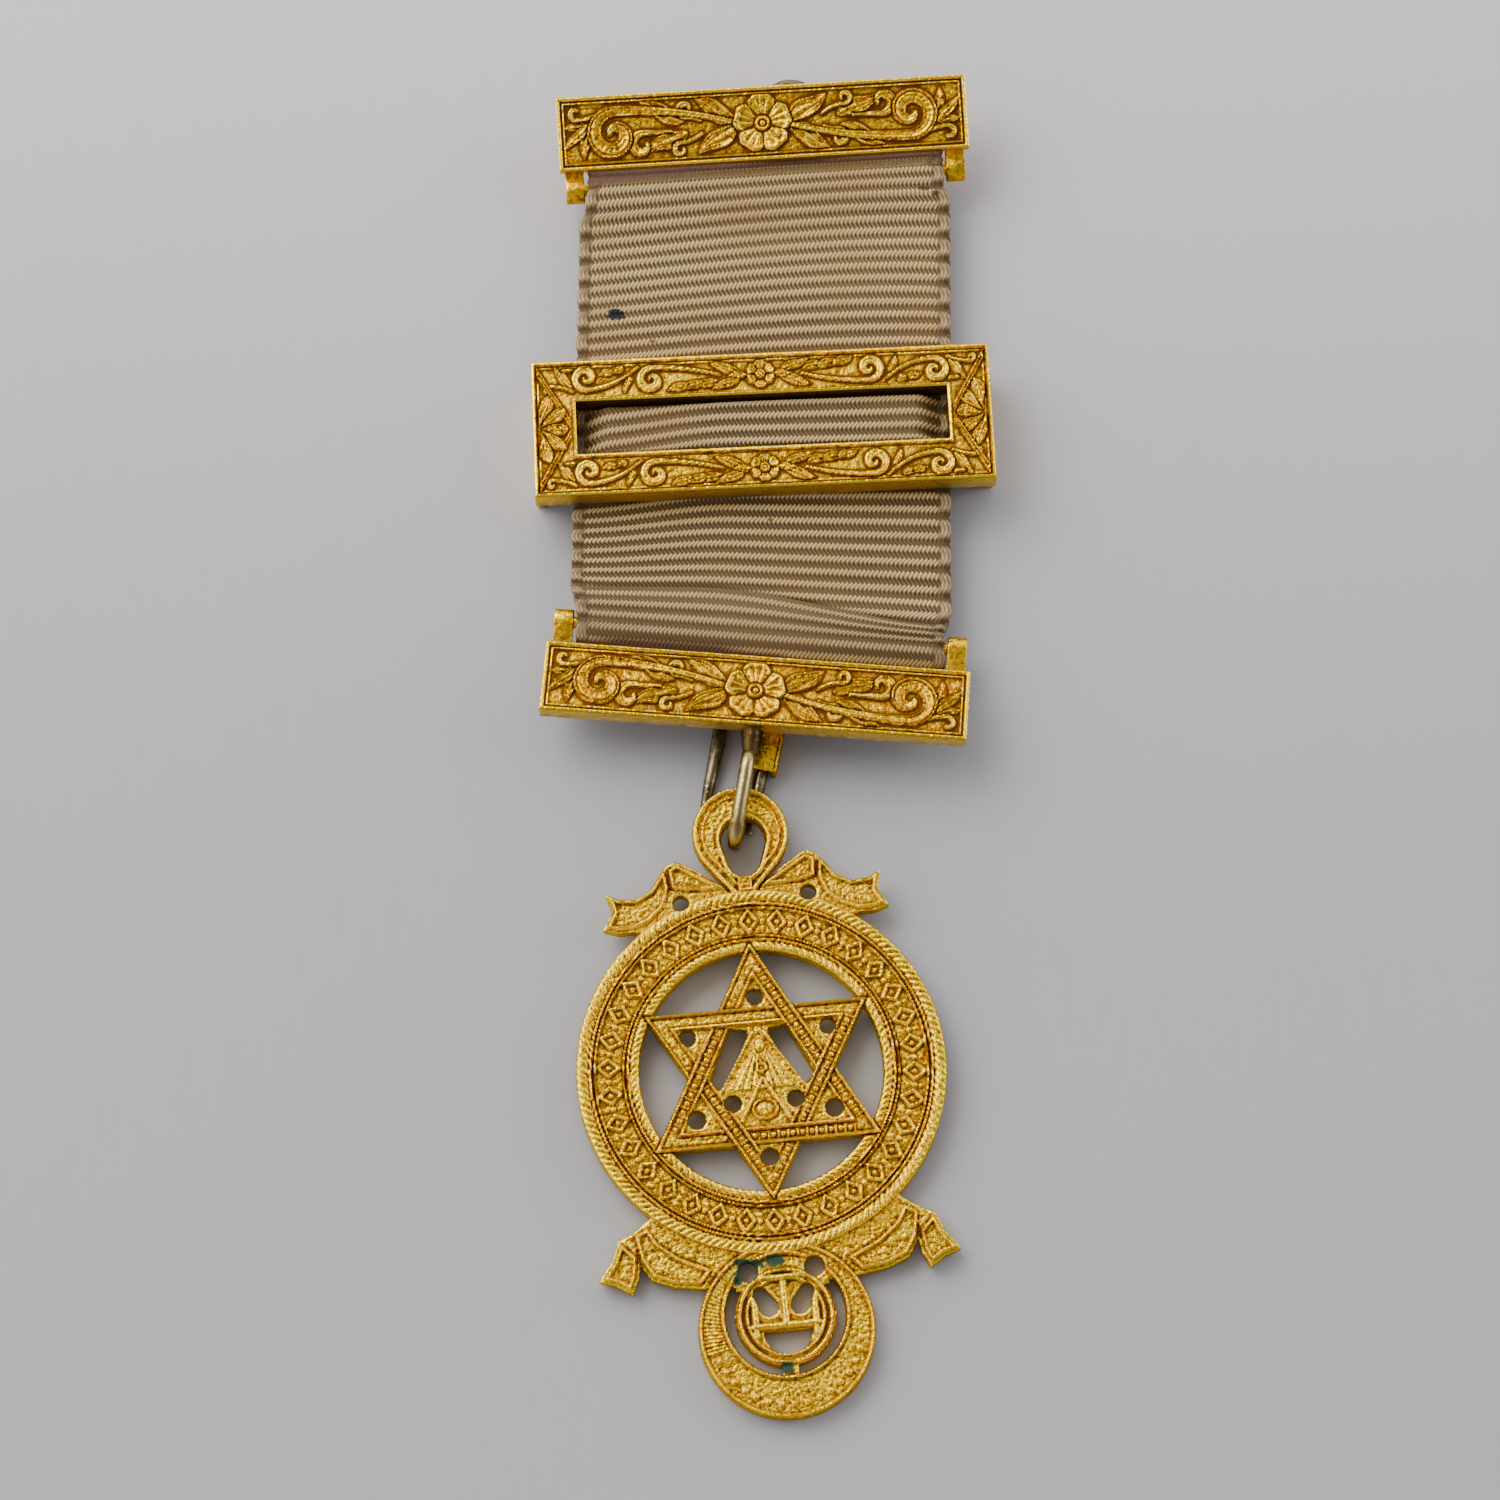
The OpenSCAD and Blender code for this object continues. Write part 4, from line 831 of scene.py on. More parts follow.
def walls(obj, back, wall_in_shade, bare):
    """Draws the selected rim down to the back in two steps, and returns the points of the last one."""
    for deep in (False, True):
        bpy.ops.object.mode_set(mode="EDIT")
        bpy.ops.mesh.extrude_region_move()
        bpy.ops.object.mode_set(mode="OBJECT")
        picked = np.zeros(len(obj.data.vertices), bool)
        obj.data.vertices.foreach_get("select", picked)
        co = coords(obj)
        co[picked, 2] = back if deep else co[picked, 2] - WALL_STEP
        set_coords(obj, co)
        # Walls in shade are painted dark brown all over: painted shade. The others are painted pale at the
        # top (worn, with a painted highlight), darker lower down in brown streaks, and silver where bare
        # (rubbed through, with a painted reflection).
        dark = wall_in_shade(co[:, 0], co[:, 1]) if wall_in_shade else False
        streak = 0.5 + 0.5 * pebbles(co[:, 0], co[:, 1], 0.6, 8)
        for key, painted_wall_shade, lit in (("recess_dirt_and_shade", 0.8, 0.15 + 0.6 * streak if deep else 0.02),
                                  ("rub_and_highlight", 0, 0.2 if deep else 0.8), ("bare", 0, bare)):
            values = np.empty(len(co), np.float32)
            obj.data.attributes[key].data.foreach_get("value", values)
            attribute(obj, key, np.where(picked, np.where(dark, painted_wall_shade, lit), values))
    return picked


# %% A relief plate
# The least slope of an outline that an edge is drawn along, and where the pale of worn edges and painted
# highlights starts and how fast it grows
LEAST_SLOPE, RUB_AT, RUB_MORE = 0.3, 0.25, 0.045
# Cells of each relief's grid, as coarse as its finest line allows
BAR_CELL, SLIDE_CELL, BAND_CELL, BOW_CELL, FOOT_CELL = 0.08, 0.09, 0.11, 0.09, 0.1


def relief(name, box, cell, outline, height, back, place, material, wall_in_shade=None, recess_shading=(0.09, 0.1), bare=0.85):
    """A plate raised to height(x, y), cut to outline(x, y) < 0, with walls down to a flat back.

    box is (x0, x1, y0, y1). height gives the heights and the dark cut lines, dirt and painted shade. The last
    three arguments tell which walls get painted shade, how deep a recess must be to be painted dark with dirt
    and painted shade, and how far the walls are painted silver: rubbed through, with a painted reflection."""
    x0, x1, y0, y1 = box
    nx, ny = round((x1 - x0) / cell), round((y1 - y0) / cell)
    clear()
    bpy.ops.mesh.primitive_grid_add(x_subdivisions=nx, y_subdivisions=ny, size=1)
    obj = bpy.context.object
    co = coords(obj)
    rows = (-1, len(np.unique(co[:, 0].round(6))))
    x, y = x0 + (co[:, 0] + 0.5) * (x1 - x0), y0 + (co[:, 1] + 0.5) * (y1 - y0)
    out, e = outline(x, y), 0.01
    gx, gy = (outline(x + e, y) - outline(x - e, y)) / 2 / e, (outline(x, y + e) - outline(x, y - e)) / 2 / e
    steep = np.maximum(np.hypot(gx, gy), LEAST_SLOPE)
    # The edge of the plate is drawn onto its outline
    kept, edge = cells_kept(out.reshape(rows))
    shift = np.where(edge, np.clip(out, -cell, cell), 0)
    x, y = x - shift * gx / steep ** 2, y - shift * gy / steep ** 2
    z, cut_dirt_and_shade = height(x, y)
    level = np.where(out < 0, z, back).reshape(rows)
    inner = np.where(out < 0, z, blurred(level, EDGE_BLUR / cell).ravel()).reshape(level.shape)
    near, wide = blurred(inner, NEAR_BLUR / cell), blurred(inner, WIDE_BLUR / cell)
    # Points lower than the blurred surface round them are painted dark, as is every cut line: dirt, and
    # painted shade.
    recess_dirt_and_shade = np.clip((wide - inner) / recess_shading[0] - recess_shading[1], 0, 1)
    attribute(obj, "recess_dirt_and_shade", np.maximum(recess_dirt_and_shade.ravel(), np.clip(cut_dirt_and_shade, 0, 1)))
    # Points higher than the blurred surface round them are painted pale: wear, and painted highlights.
    attribute(obj, "rub_and_highlight", np.clip((inner - near) / RUB_MORE - RUB_AT, 0, 1))
    attribute(obj, "bare", np.zeros(len(co)))
    set_coords(obj, np.column_stack([x, y, z]))
    obj.data.polygons.foreach_set("select", ~kept)
    for points_or_edges in (obj.data.vertices, obj.data.edges):
        points_or_edges.foreach_set("select", np.zeros(len(points_or_edges), bool))
    bpy.ops.object.mode_set(mode="EDIT")
    bpy.ops.mesh.select_mode(type="FACE")
    bpy.ops.mesh.delete(type="FACE")
    bpy.ops.mesh.select_mode(type="EDGE")
    bpy.ops.mesh.select_non_manifold(extend=False, use_wire=False, use_multi_face=False,
                                     use_non_contiguous=False, use_verts=False, use_boundary=True)
    close_back(obj, walls(obj, back, wall_in_shade, bare))
    return settle(obj, name, place, material)


# %% [markdown]
# ## The two bars
# Each bar is a thin plate with a raised rim, a fine inner line, and a chased field: a five-petalled flower
# with leaves and scrolls to each side, the left half the same as the right one turned half round.


# %% Bars
def bar_outline(x, y):
    return to_box(x, y, bar_w / 2, BAR_H / 2)


def bar_face(x, y):
    """Height of a bar's face above its back."""
    edge = -bar_outline(x, y)
    c = Chasing(x, y)
    c.lay_halves(x, y, BAR_SCROLLS, BAR_LEAVES, BAR_H)
    c.lay(*flower_form(x, y, BAR_H * 0.405, 5, 0.66))
    face, cut_dirt_and_shade = c.rimmed(x, y, edge, edge, 0.035, 3, fade=(0.5, 0.75), dark_fade=(0.5, 0.7),
                           groove=(0.40, 0.07, 0.40), line=(0.62, 0.57, 0.22), shade=(0.7, 0.74))
    return BAR_T - FIELD_D + face, cut_dirt_and_shade


def box_of(w, h):
    return -w / 2 - MARGIN, w / 2 + MARGIN, -h / 2 - MARGIN, h / 2 + MARGIN


bar_box = box_of(bar_w, BAR_H)
top_plate = relief("top_bar_plate", bar_box, BAR_CELL, bar_outline, bar_face, 0, TOP_PLATE, top_gilt)
low_plate = relief("lower_bar_plate", bar_box, BAR_CELL, bar_outline, bar_face, 0, LOW_PLATE, low_gilt)
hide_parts("top_bar")
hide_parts("lower_bar")

# %% [markdown]
# ## Ears
# A strip soldered behind each end of a bar comes out past its edge and is rolled round the rod.


# %% Blocks with rounded edges
def bevelled(obj, width, segments=3):
    edge = obj.modifiers.new("edge", "BEVEL")
    edge.width, edge.segments = width, segments
    edge.limit_method, edge.angle_limit = "ANGLE", math.radians(40)
    pick(obj)
    bpy.ops.object.modifier_apply(modifier="edge")
    return obj


def cube(low, high):
    clear()
    middle = [(a + b) / 2 for a, b in zip(low, high)]
    bpy.ops.mesh.primitive_cube_add(size=1, location=middle, scale=[b - a for a, b in zip(low, high)])
    return bake_place(bpy.context.object)


def block(name, low, high, place, material=plain_gilt, round_by=0.12, bare=0.0):
    obj = bevelled(cube(low, high), round_by)
    attribute(obj, "bare", np.full(len(obj.data.vertices), bare))
    return settle(obj, name, place, material, 40)


# %% Ears and the block behind the top bar
def ear(name, side, reach, seat, tilt, away, place):
    """A strip bent round the rod: its profile is a roll with a flat run up to the bar, and the rod's hole."""
    x, hole = side * (ear_in + EAR_W / 2), ear_r - EAR_WALL
    out = away * (reach + 0.5)
    corners = [(out, seat + 0.5 * sin(away * tilt) - 0.05), (out, seat - EAR_T)]
    ways, fars = [np.array((cos(a), sin(a))) for a in range(0, 360, 6)], []
    for way in ways:
        far = ear_r
        for corner in corners + [tuple(np.mean(corners, axis=0))]:
            # The widest of the straight runs from the roll to each corner
            d = math.hypot(*corner)
            heading, lean = math.degrees(math.atan2(corner[1], corner[0])), math.degrees(math.acos(ear_r / d))
            for n in (heading - lean, heading + lean):
                touch = np.array((cos(n), sin(n)))
                t = ear_r / max(way @ touch, 1e-6)
                on = (way * t - touch * ear_r) @ (np.array(corner) - touch * ear_r)
                if way @ touch > 0 and 0 <= on <= d * d - ear_r * ear_r:
                    far = max(far, t)
        fars.append(far)
    mesh = bmesh.new()
    rings = [[mesh.verts.new((ex, *(way * (hole if inner else far)))) for far, way in zip(fars, ways)]
             for ex in (x - EAR_W / 2, x + EAR_W / 2) for inner in (False, True)]
    for a, b in ((0, 1), (1, 3), (3, 2), (2, 0)):
        for i in range(len(ways)):
            j = (i + 1) % len(ways)
            mesh.faces.new((rings[a][i], rings[a][j], rings[b][j], rings[b][i]))
    bmesh.ops.recalc_face_normals(mesh, faces=mesh.faces)
    data = bpy.data.meshes.new(name)
    mesh.to_mesh(data)
    mesh.free()
    knuckle, length = bevelled(add(name, data), 0.09), BAR_H / 2
    strip = bevelled(cube((-EAR_W / 2, -length / 2, -EAR_T / 2), (EAR_W / 2, length / 2, EAR_T / 2)), 0.1)
    at = move(x, away * reach, seat) @ spin(tilt, "X") @ move(0, away * length / 2, -EAR_T / 2)
    strip.data.transform(at)
    pick(knuckle, strip)
    bpy.ops.object.join()
    return settle(knuckle, name, place, plain_gilt, 40)


for side, word in ((-1, "left"), (1, "right")):
    ear(f"top_ear_{word}", side, TOP_REACH, top_seat, TOP_TILT, 1, TOP)
    ear(f"lower_ear_{word}", side, LOW_REACH, low_seat, -LOW_TILT, -1, LOW)

pin_up_z = rod_z + top_seat + (BAR_H / 2) * sin(TOP_TILT) - EAR_T - PIN_D / 2 - GAP
block_y, block_long, pin_side, pin_room = TOP_REACH + BAR_H * 0.44, 1.8, PIN_GAUGE / 2 + 0.45, PIN_D / 2 + GAP
block("pin_block", (PIN_X - pin_side - pin_room, block_y, pin_up_z - rod_z - pin_room - 0.4),
      (PIN_X + pin_side + pin_room, block_y + block_long, pin_up_z - rod_z + pin_room + EAR_T + 0.9), TOP)

# %% [markdown]
# ## The slide
# The slide is a buckle frame without a tongue. Its two rails carry a six-petalled flower with scrolls to
# each side, its ends a palmette between mitred corners, and its window shows the ribbon.

# %% Slide
window_w, window_h = SLIDE_W - 2 * RAIL, SLIDE_H - 2 * RAIL


def slide_face(x, y):
    """Height of the slide's face above the table."""
    c = Chasing(x, y)
    for sy in (-1, 1):
        rail_y = y - sy * (SLIDE_H - RAIL) / 2
        c.lay_halves(x, rail_y, RAIL_SCROLLS, RAIL_LEAVES, RAIL)
        c.lay(*flower_form(x, rail_y, RAIL * 0.34, 6, 0.42))
    for sx in (-1, 1):
        for a in (-74, 74, -40, 40, 0):
            row = [-SLIDE_W / 2 + 1.8 * RIM_W, 0, a, RAIL * (0.68 + abs(a) / 400), RAIL * 0.30]
            c.lay(*leaf_form(sx * x, sx * y, row, 1.0, 1.9))
        for sy in (-1, 1):
            corner, end = (sx * SLIDE_W / 2, sy * SLIDE_H / 2), (sx * (window_w / 2 + RIM_W), sy * 0.1)
            d = to_line(x, y, corner, end)[0]
            c.lay(d - 0.22, 0.2 + 0.7 * ridge(d - 0.14, 0.16))
    outer = -to_box(x, y, SLIDE_W / 2, SLIDE_H / 2)
    edge = np.minimum(outer, to_box(x, y, window_w / 2, window_h / 2))
    face, cut_dirt_and_shade = c.rimmed(x, y, edge, outer, 0.03, 5, fade=(0.38, 0.62), dark_fade=(0.4, 0.6),
                           groove=(0.37, 0.06, 0.38), line=(0.55, 0.55, 0.2), shade=(0.6, 0.70))
    return slide_z + SLIDE_T - FIELD_D + face, cut_dirt_and_shade


# The walls round the window are painted in shade.
def slide_inside(x, y):
    return to_box(x, y, window_w / 2, window_h / 2) < 0.2


def slide_outline(x, y):
    return np.maximum(to_box(x, y, SLIDE_W / 2, SLIDE_H / 2), -to_box(x, y, window_w / 2, window_h / 2))


slide_plate = relief("slide_frame", box_of(SLIDE_W, SLIDE_H), SLIDE_CELL, slide_outline, slide_face, slide_z,
                     SLIDE, slide_gilt, slide_inside)
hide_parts("slide")
slide_in = RIBBON_W / 2 + 0.1 + (SLIDE_H / 2) * tan(abs(SLIDE_TURN - LEAN))
for side, word in ((-1, "left"), (1, "right")):
    for piece, x0, x1, short, top in (("wall", SLIDE_W / 2 - WALL, SLIDE_W / 2, 1, slide_z + 0.3),
                                      ("tab", slide_in - TAB, SLIDE_W / 2 - 0.1, 2, LIFT + WALL)):
        near, far = sorted((side * x0, side * x1))
        half = SLIDE_H / 2 - short
        # Their sides are painted part silver: rubbed through, and a painted reflection of the bright room.
        block(f"slide_{piece}_{word}", (near, -half, LIFT), (far, half, top), SLIDE, round_by=0.1, bare=0.6)

# %% [markdown]
# ## The medal
# The medal is one casting. A stippled band carries a border pattern between a milled rope and a plain
# line, two triangles of flat bars are woven through each other inside it, a bow carries the loop above,
# and a scroll and a crescent with a small seal hang below.

# %% Outlines of the medal, in shares of the band's radius
STAR_POINTS = [(0, .715), (-.615, -.405), (.615, -.405), (0, -.715), (.61, .35), (-.61, .35)]
STAR_SIDES = [(2, 0), (4, 5), (0, 1), (5, 3), (1, 2), (3, 4)]
STAR_BAR = 1.5
BAND_IN, UNDER_BAND = 0.655, 0.5  # the band's inner radius, and how far bow and scroll go under it in mm
CAST = (0.13, 0.18)
BOW_TAIL = [(0.05, 0.96), (0.12, 1.04), (0.24, 1.13), (0.33, 1.185), (0.365, 1.195), (0.41, 1.175),
            (0.465, 1.11), (0.505, 1.05), (0.59, 1.005), (0.68, 1.012), (0.752, 1.05), (0.725, 0.94),
            (0.778, 0.848), (0.70, 0.82), (0.61, 0.82), (0.50, 0.80), (0.30, 0.90)]
BOW_FIRST = [(0.07, 1.01), (0.20, 1.085), (0.35, 1.175), (0.40, 1.15), (0.395, 1.04), (0.31, 1.02)]
BOW_LAST = [(0.42, 1.155), (0.465, 1.10), (0.505, 1.045), (0.59, 1.00), (0.68, 1.007), (0.741, 1.037),
            (0.715, 0.94), (0.763, 0.855), (0.70, 0.835), (0.61, 0.835), (0.52, 0.87), (0.44, 0.94),
            (0.405, 1.04)]
SCROLL = [(0.66, -0.74), (0.77, -0.82), (0.845, -0.85), (0.89, -0.96), (0.967, -1.06), (0.88, -1.09),
          (0.795, -1.145), (0.755, -1.06), (0.74, -0.99), (0.685, -1.08), (0.57, -1.125), (0.42, -1.15),
          (0.25, -1.16), (0.20, -0.95), (0.45, -0.85)]
SCROLL_BAND = [(0.685, -0.80), (0.76, -0.835), (0.735, -0.975), (0.68, -1.065), (0.57, -1.11),
               (0.43, -1.13), (0.36, -1.05), (0.53, -0.97), (0.635, -0.885)]
SCROLL_TAIL = [(0.835, -0.865), (0.88, -0.97), (0.948, -1.055), (0.87, -1.08), (0.80, -1.125),
               (0.765, -1.05), (0.755, -0.95)]
HOLES = [(0.348, 0.957, 0.045, 1), (0, 0.405, 0.045, 0), (0.38, 0.21, 0.045, 1), (0.37, -0.24, 0.05, 1),
         (0, -0.475, 0.05, 0), (0.17, -0.17, 0.047, 1), (0.178, -1.08, 0.055, 1)]
LONG_GAP = [(0.055, 0.225), (0.15, 0.24), (0.285, -0.04), (0.225, -0.095), (0.10, 0.10)]
MOON, MOON_IN, SEAL = (0, -1.404, 0.47), (0, -1.326, 0.318), (0, -1.331, 0.268)
print(f"the medal's band is {2 * R} mm across and has {sum(1 + both for *_, both in HOLES)} round holes")


# %% Distances to the medal's outlines
def big(points):
    return [(px * R, py * R) for px, py in points]


def mirrored(x, y, points):
    """Signed distance to an outline that is the same on both sides."""
    return to_shape(np.abs(x), y, big(points))


def blob(x, y, a, ra, b, rb):
    """Signed distance to the outline round two circles of different size."""
    a, b, ra, rb = np.array(a) * R, np.array(b) * R, ra * R, rb * R
    h = np.hypot(*(b - a))
    d = (b - a) / h
    along, off = (x - a[0]) * d[0] + (y - a[1]) * d[1], np.abs((y - a[1]) * d[0] - (x - a[0]) * d[1])
    lean = (ra - rb) / h
    up = math.sqrt(1 - lean * lean)
    k, before, past = along * up - off * lean, np.hypot(along, off) - ra, np.hypot(along - h, off) - rb
    return np.where(k < 0, before, np.where(k > up * h, past, off * up + along * lean - ra))


def disc(x, y, row):
    return np.hypot(x - row[0] * R, y - row[1] * R) - row[2] * R


def triangle(x, y, k):
    return to_shape(x, y, big(STAR_POINTS[3 * k:3 * k + 3]))


def star(x, y):
    return np.minimum(triangle(x, y, 0), triangle(x, y, 1))


def crescent(x, y):
    return np.maximum(disc(x, y, MOON), -disc(x, y, MOON_IN))


def holes(x, y):
    return united(*(disc(x, y, (s * hx, hy, hr)) for hx, hy, hr, both in HOLES for s in (1, -1)[:1 + both]))


def loop_hole(x, y):
    return blob(x, y, (0.023, 1.283), 0.12, (0.017, 1.168), 0.088)


def loop_body(x, y):
    return blob(x, y, (0.011, 1.318), 0.263, (0, 1.05), 0.09)


def cast(name, box, cell, outline, face, recess_shading=CAST):
    """A piece of the medal; its box is given in shares of the band's radius."""
    return relief(name, [v * R for v in box], cell, outline, face, 0, MEDAL, medal_gilt, recess_shading=recess_shading, bare=0.3)


# %% The band with its border and ropes
LOZENGES, LOZENGE_W, LOZENGE_H, BORDER_R = 34, 1.35, 1.8, 0.8225 * R
PLAIN_LINES = ((0.919, 0.27), (0.895, 0.23), (0.719, 0.27), (0.741, 0.20))
# Ropes: radius, width and height in shares, strands, slant, and how dark the grooves between strands are
# painted: dirt and painted shade
ROPES = ((0.965, 0.07, 1.0, 79, 2.2, 0.5), (0.683, 0.05, 0.8, 58, -2.0, 0.6))
BEAD_STEP, BEAD_AT = 0.78, 0.75


def band_outline(x, y):
    r = np.hypot(x, y)
    body = np.minimum(np.maximum(r - (R - SUNK), BAND_IN * R - r), star(x, y))
    return np.maximum(body, -np.minimum(mirrored(x, y, LONG_GAP), holes(x, y)))


def band_face(x, y):
    r, a = np.hypot(x, y), np.degrees(np.arctan2(y, x))
    h = 0.035 * pebbles(x, y, STIPPLE, 11) + 0.02 * pebbles(x, y, 0.34, 12)
    # Border pattern: lozenges with a bead in each and three beads between them
    step, off = 360 / LOZENGES, r - BORDER_R
    phi = np.radians(wrapped(a - 100, step)) * BORDER_R
    edge = 2 * (np.abs(phi) / LOZENGE_W + np.abs(off) / LOZENGE_H) - 1
    loz = np.abs(edge * LOZENGE_W / 2.4)
    h = highest(h, LINE_H * 0.85 * ridge(loz, 0.34), LINE_H * 0.75 * ridge(np.hypot(phi, off), 0.42))
    beside = np.abs(phi) - math.radians(step / 2) * BORDER_R
    for v, w in ((-0.55, 0.42), (0.0, 0.52), (0.55, 0.42)):
        h = np.maximum(h, LINE_H * 0.75 * ridge(np.hypot(beside, off - v), w))
    cut_dirt_and_shade = 0.85 * dip(loz - 0.26, 0.10)
    for share, w in PLAIN_LINES:
        off = np.abs(r - share * R)
        h = np.maximum(h, LINE_H * 1.05 * ridge(off, w)) - 0.08 * dip(off - w / 2 - 0.05, 0.06)
        cut_dirt_and_shade = np.maximum(cut_dirt_and_shade, 0.34 * dip(off - w / 2 - 0.03, 0.08))
    for middle, width, tall, strands, slant, dark in ROPES:
        s = (r / R - middle) / width * 2
        twist = np.abs(np.sin(np.radians(a) * strands + s * slant))
        strand = LINE_H * tall * np.sqrt(np.clip(1 - 0.8 * s * s, 0, 1)) * (0.55 + 0.48 * twist ** 0.6)
        h = np.where(np.abs(s) < 1, np.maximum(h, strand), h)
        cut_dirt_and_shade = np.where(np.abs(s) < 1, dark * (1 - twist) ** 2, cut_dirt_and_shade)
    # The star and what it frames lie over the ring, which is painted darker beside it: dirt and painted
    # shade.
    from_star, (star_h, star_grime) = star(x, y), star_face(x, y)
    h = np.where(from_star < 0.02, star_h, h - 0.16 * dip(from_star, 0.10))
    cut_dirt_and_shade = np.where(from_star < 0.02, star_grime, np.maximum(cut_dirt_and_shade, 0.7 * dip(from_star - 0.06, 0.12)))
    return PLATE_T + eased(h, -band_outline(x, y)), cut_dirt_and_shade


# %% The woven star
def star_bar(x, y, k):
    """One bar of the star: where it lies, its heights, how far in from its outer edge a point is, its cut
    lines, and the distance from its triangle."""
    a, b = (np.array(STAR_POINTS[i]) * R for i in STAR_SIDES[k])
    long = np.hypot(*(b - a))
    d = (b - a) / long
    u, v = (x - a[0]) * d[0] + (y - a[1]) * d[1], (y - a[1]) * d[0] - (x - a[0]) * d[1]
    tri = triangle(x, y, k % 2)
    form, cut = 0.03 * pebbles(x, y, STIPPLE, 20 + k) + 0.03, np.zeros(x.shape)
    if k != 1:
        first, last = {0: (1.6, 0.9), 2: (0.42 * long, 1.6), 3: (0.36 * long, 1.2), 4: (0.30 * long, 1.5),
                       5: (1.2, 1.6)}[k]
        beat = (u % BEAD_STEP) - BEAD_STEP / 2 + 9 * ((u < first) | (u > long - last))
        bead = np.hypot(beat, v - BEAD_AT)
        tick = ridge(np.abs(beat) - BEAD_STEP / 2, 0.22) * soft(0.38 - np.abs(v - BEAD_AT), 0, 0.1)
        form = np.maximum(form, 0.32 * np.maximum(ridge(bead, 0.46), 0.9 * tick))
        cut = 0.6 * dip(bead - 0.29, 0.08)
    line = np.minimum(np.abs(-tri - 0.2), np.abs(-tri - STAR_BAR + 0.16))
    form = np.maximum(form, LINE_H * ridge(line, 0.30)) - 0.08 * dip(line - 0.20, 0.05)
    on = (v > -0.02) & (v < STAR_BAR) & (tri < 0.02)
    return on, form, v, np.maximum(cut, 0.8 * dip(line - 0.23, 0.08)), tri


def star_face(x, y):
    h, cut_dirt_and_shade = centre_face(x, y)
    h = h + 0.03 * pebbles(x, y, STIPPLE, 13) - 0.02
    bars = [star_bar(x, y, k) for k in range(6)]
    # Inside each triangle, the field beside each bar is painted dark: dirt and painted shade.
    for _, _, v, _, tri in bars:
        cut_dirt_and_shade = np.maximum(cut_dirt_and_shade, 0.6 * dip(v - STAR_BAR - 0.08, 0.12) * (tri < 0))
    # Each bar goes under the one before it, and is painted dark beside the bar over it: painted shade.
    for k, (on, form, _, cut, _) in enumerate(bars):
        over, _, near, _, _ = bars[k - 1]
        use = on & ~over
        off = np.maximum(-near, near - STAR_BAR)
        beside = dip(off, 0.11) * (off > 0)
        h = np.where(use, form - 0.14 * beside, h)
        cut_dirt_and_shade = np.where(use, np.maximum(cut, 0.9 * beside), cut_dirt_and_shade)
    return h, cut_dirt_and_shade


# %% The middle triangle
def centre_face(x, y):
    """The small triangle with a draped figure, a ring and a seal, all plain and generic."""
    u, v = np.abs(x) / R, y / R
    roof = to_line(u, v, (0.03, 0.21), (0.235, -0.11))[0] * R
    legs = to_line(u, v, (0, -0.045), (0.13, -0.272))[0] * R
    h = 0.34 * np.maximum(ridge(roof, 0.34), ridge(legs, 0.36))
    fan = np.degrees(np.arctan2(u, 0.17 - v))
    folds = np.sqrt(np.clip(np.cos(np.radians(fan * 360 / 9)) * 0.5 + 0.5, 0, 1)) * 0.2
    draped = (fan < 34) & (v < 0.10) & (v > np.maximum(-0.10, -0.115 + 0.1 * u)) & (legs > 0.2)
    h = np.where(draped, np.maximum(h, folds + 0.05), h)
    # The troughs of the folds are painted dark: painted shade.
    cut_dirt_and_shade = np.where(draped, 0.7 * (1 - folds / 0.2) ** 2, 0.6 * dip(legs - 0.26, 0.08))
    veil = np.hypot(x / 0.62, (y - 0.125 * R) / 0.86)
    h = np.where(veil < 1, np.maximum(h, 0.30 * np.clip(1.6 - 1.6 * veil, 0, 1) ** 0.5), h)
    head = np.hypot(x / 0.40, (y - 0.132 * R) / 0.56)
    face = 0.30 + 0.16 * ridge(head, 2) - 0.06 * dip(np.hypot(np.abs(x) - 0.15, y - 0.145 * R), 0.08)
    h = np.where(head < 1, np.maximum(h, face), h) - 0.16 * dip(head - 1.06, 0.10) * (v > 0.09)
    ring = np.abs(np.hypot(x, y - 0.012 * R) - 0.34)
    h = np.maximum(h, 0.34 * ridge(ring, 0.22)) - 0.10 * dip(ring - 0.22, 0.08)
    seal = np.hypot(x / 1.25, y + 0.215 * R)
    h = np.maximum(h, 0.34 * ridge(seal - 0.78, 0.22))
    for line in (head - 1.12, ring - 0.22, np.abs(seal - 0.78) - 0.17):
        cut_dirt_and_shade = np.maximum(cut_dirt_and_shade * (line > -0.05), 0.75 * dip(line, 0.10))
    domed = 0.22 * ridge(seal, 1.4) * (0.8 + 0.2 * np.cos(x * 2 * np.pi / 0.42))
    return np.where(seal < 0.7, np.maximum(h, domed), h), cut_dirt_and_shade


BAND_BOX = np.array((-1, 1, -1, 1)) * (1 + 0.05 / R)
band = cast("medal_band", BAND_BOX, BAND_CELL, band_outline, band_face, (0.16, 0.24))
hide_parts("medal")


# %% The bow and its loop
def framed(out, w=LINE_W):
    """A raised line just inside an outline, with a cut beside it."""
    line = LINE_H * ridge(out + 0.05 + w / 2, w) - 0.08 * dip(out + w + 0.10, 0.06)
    return np.where(out < 0.05, line, -0.5)


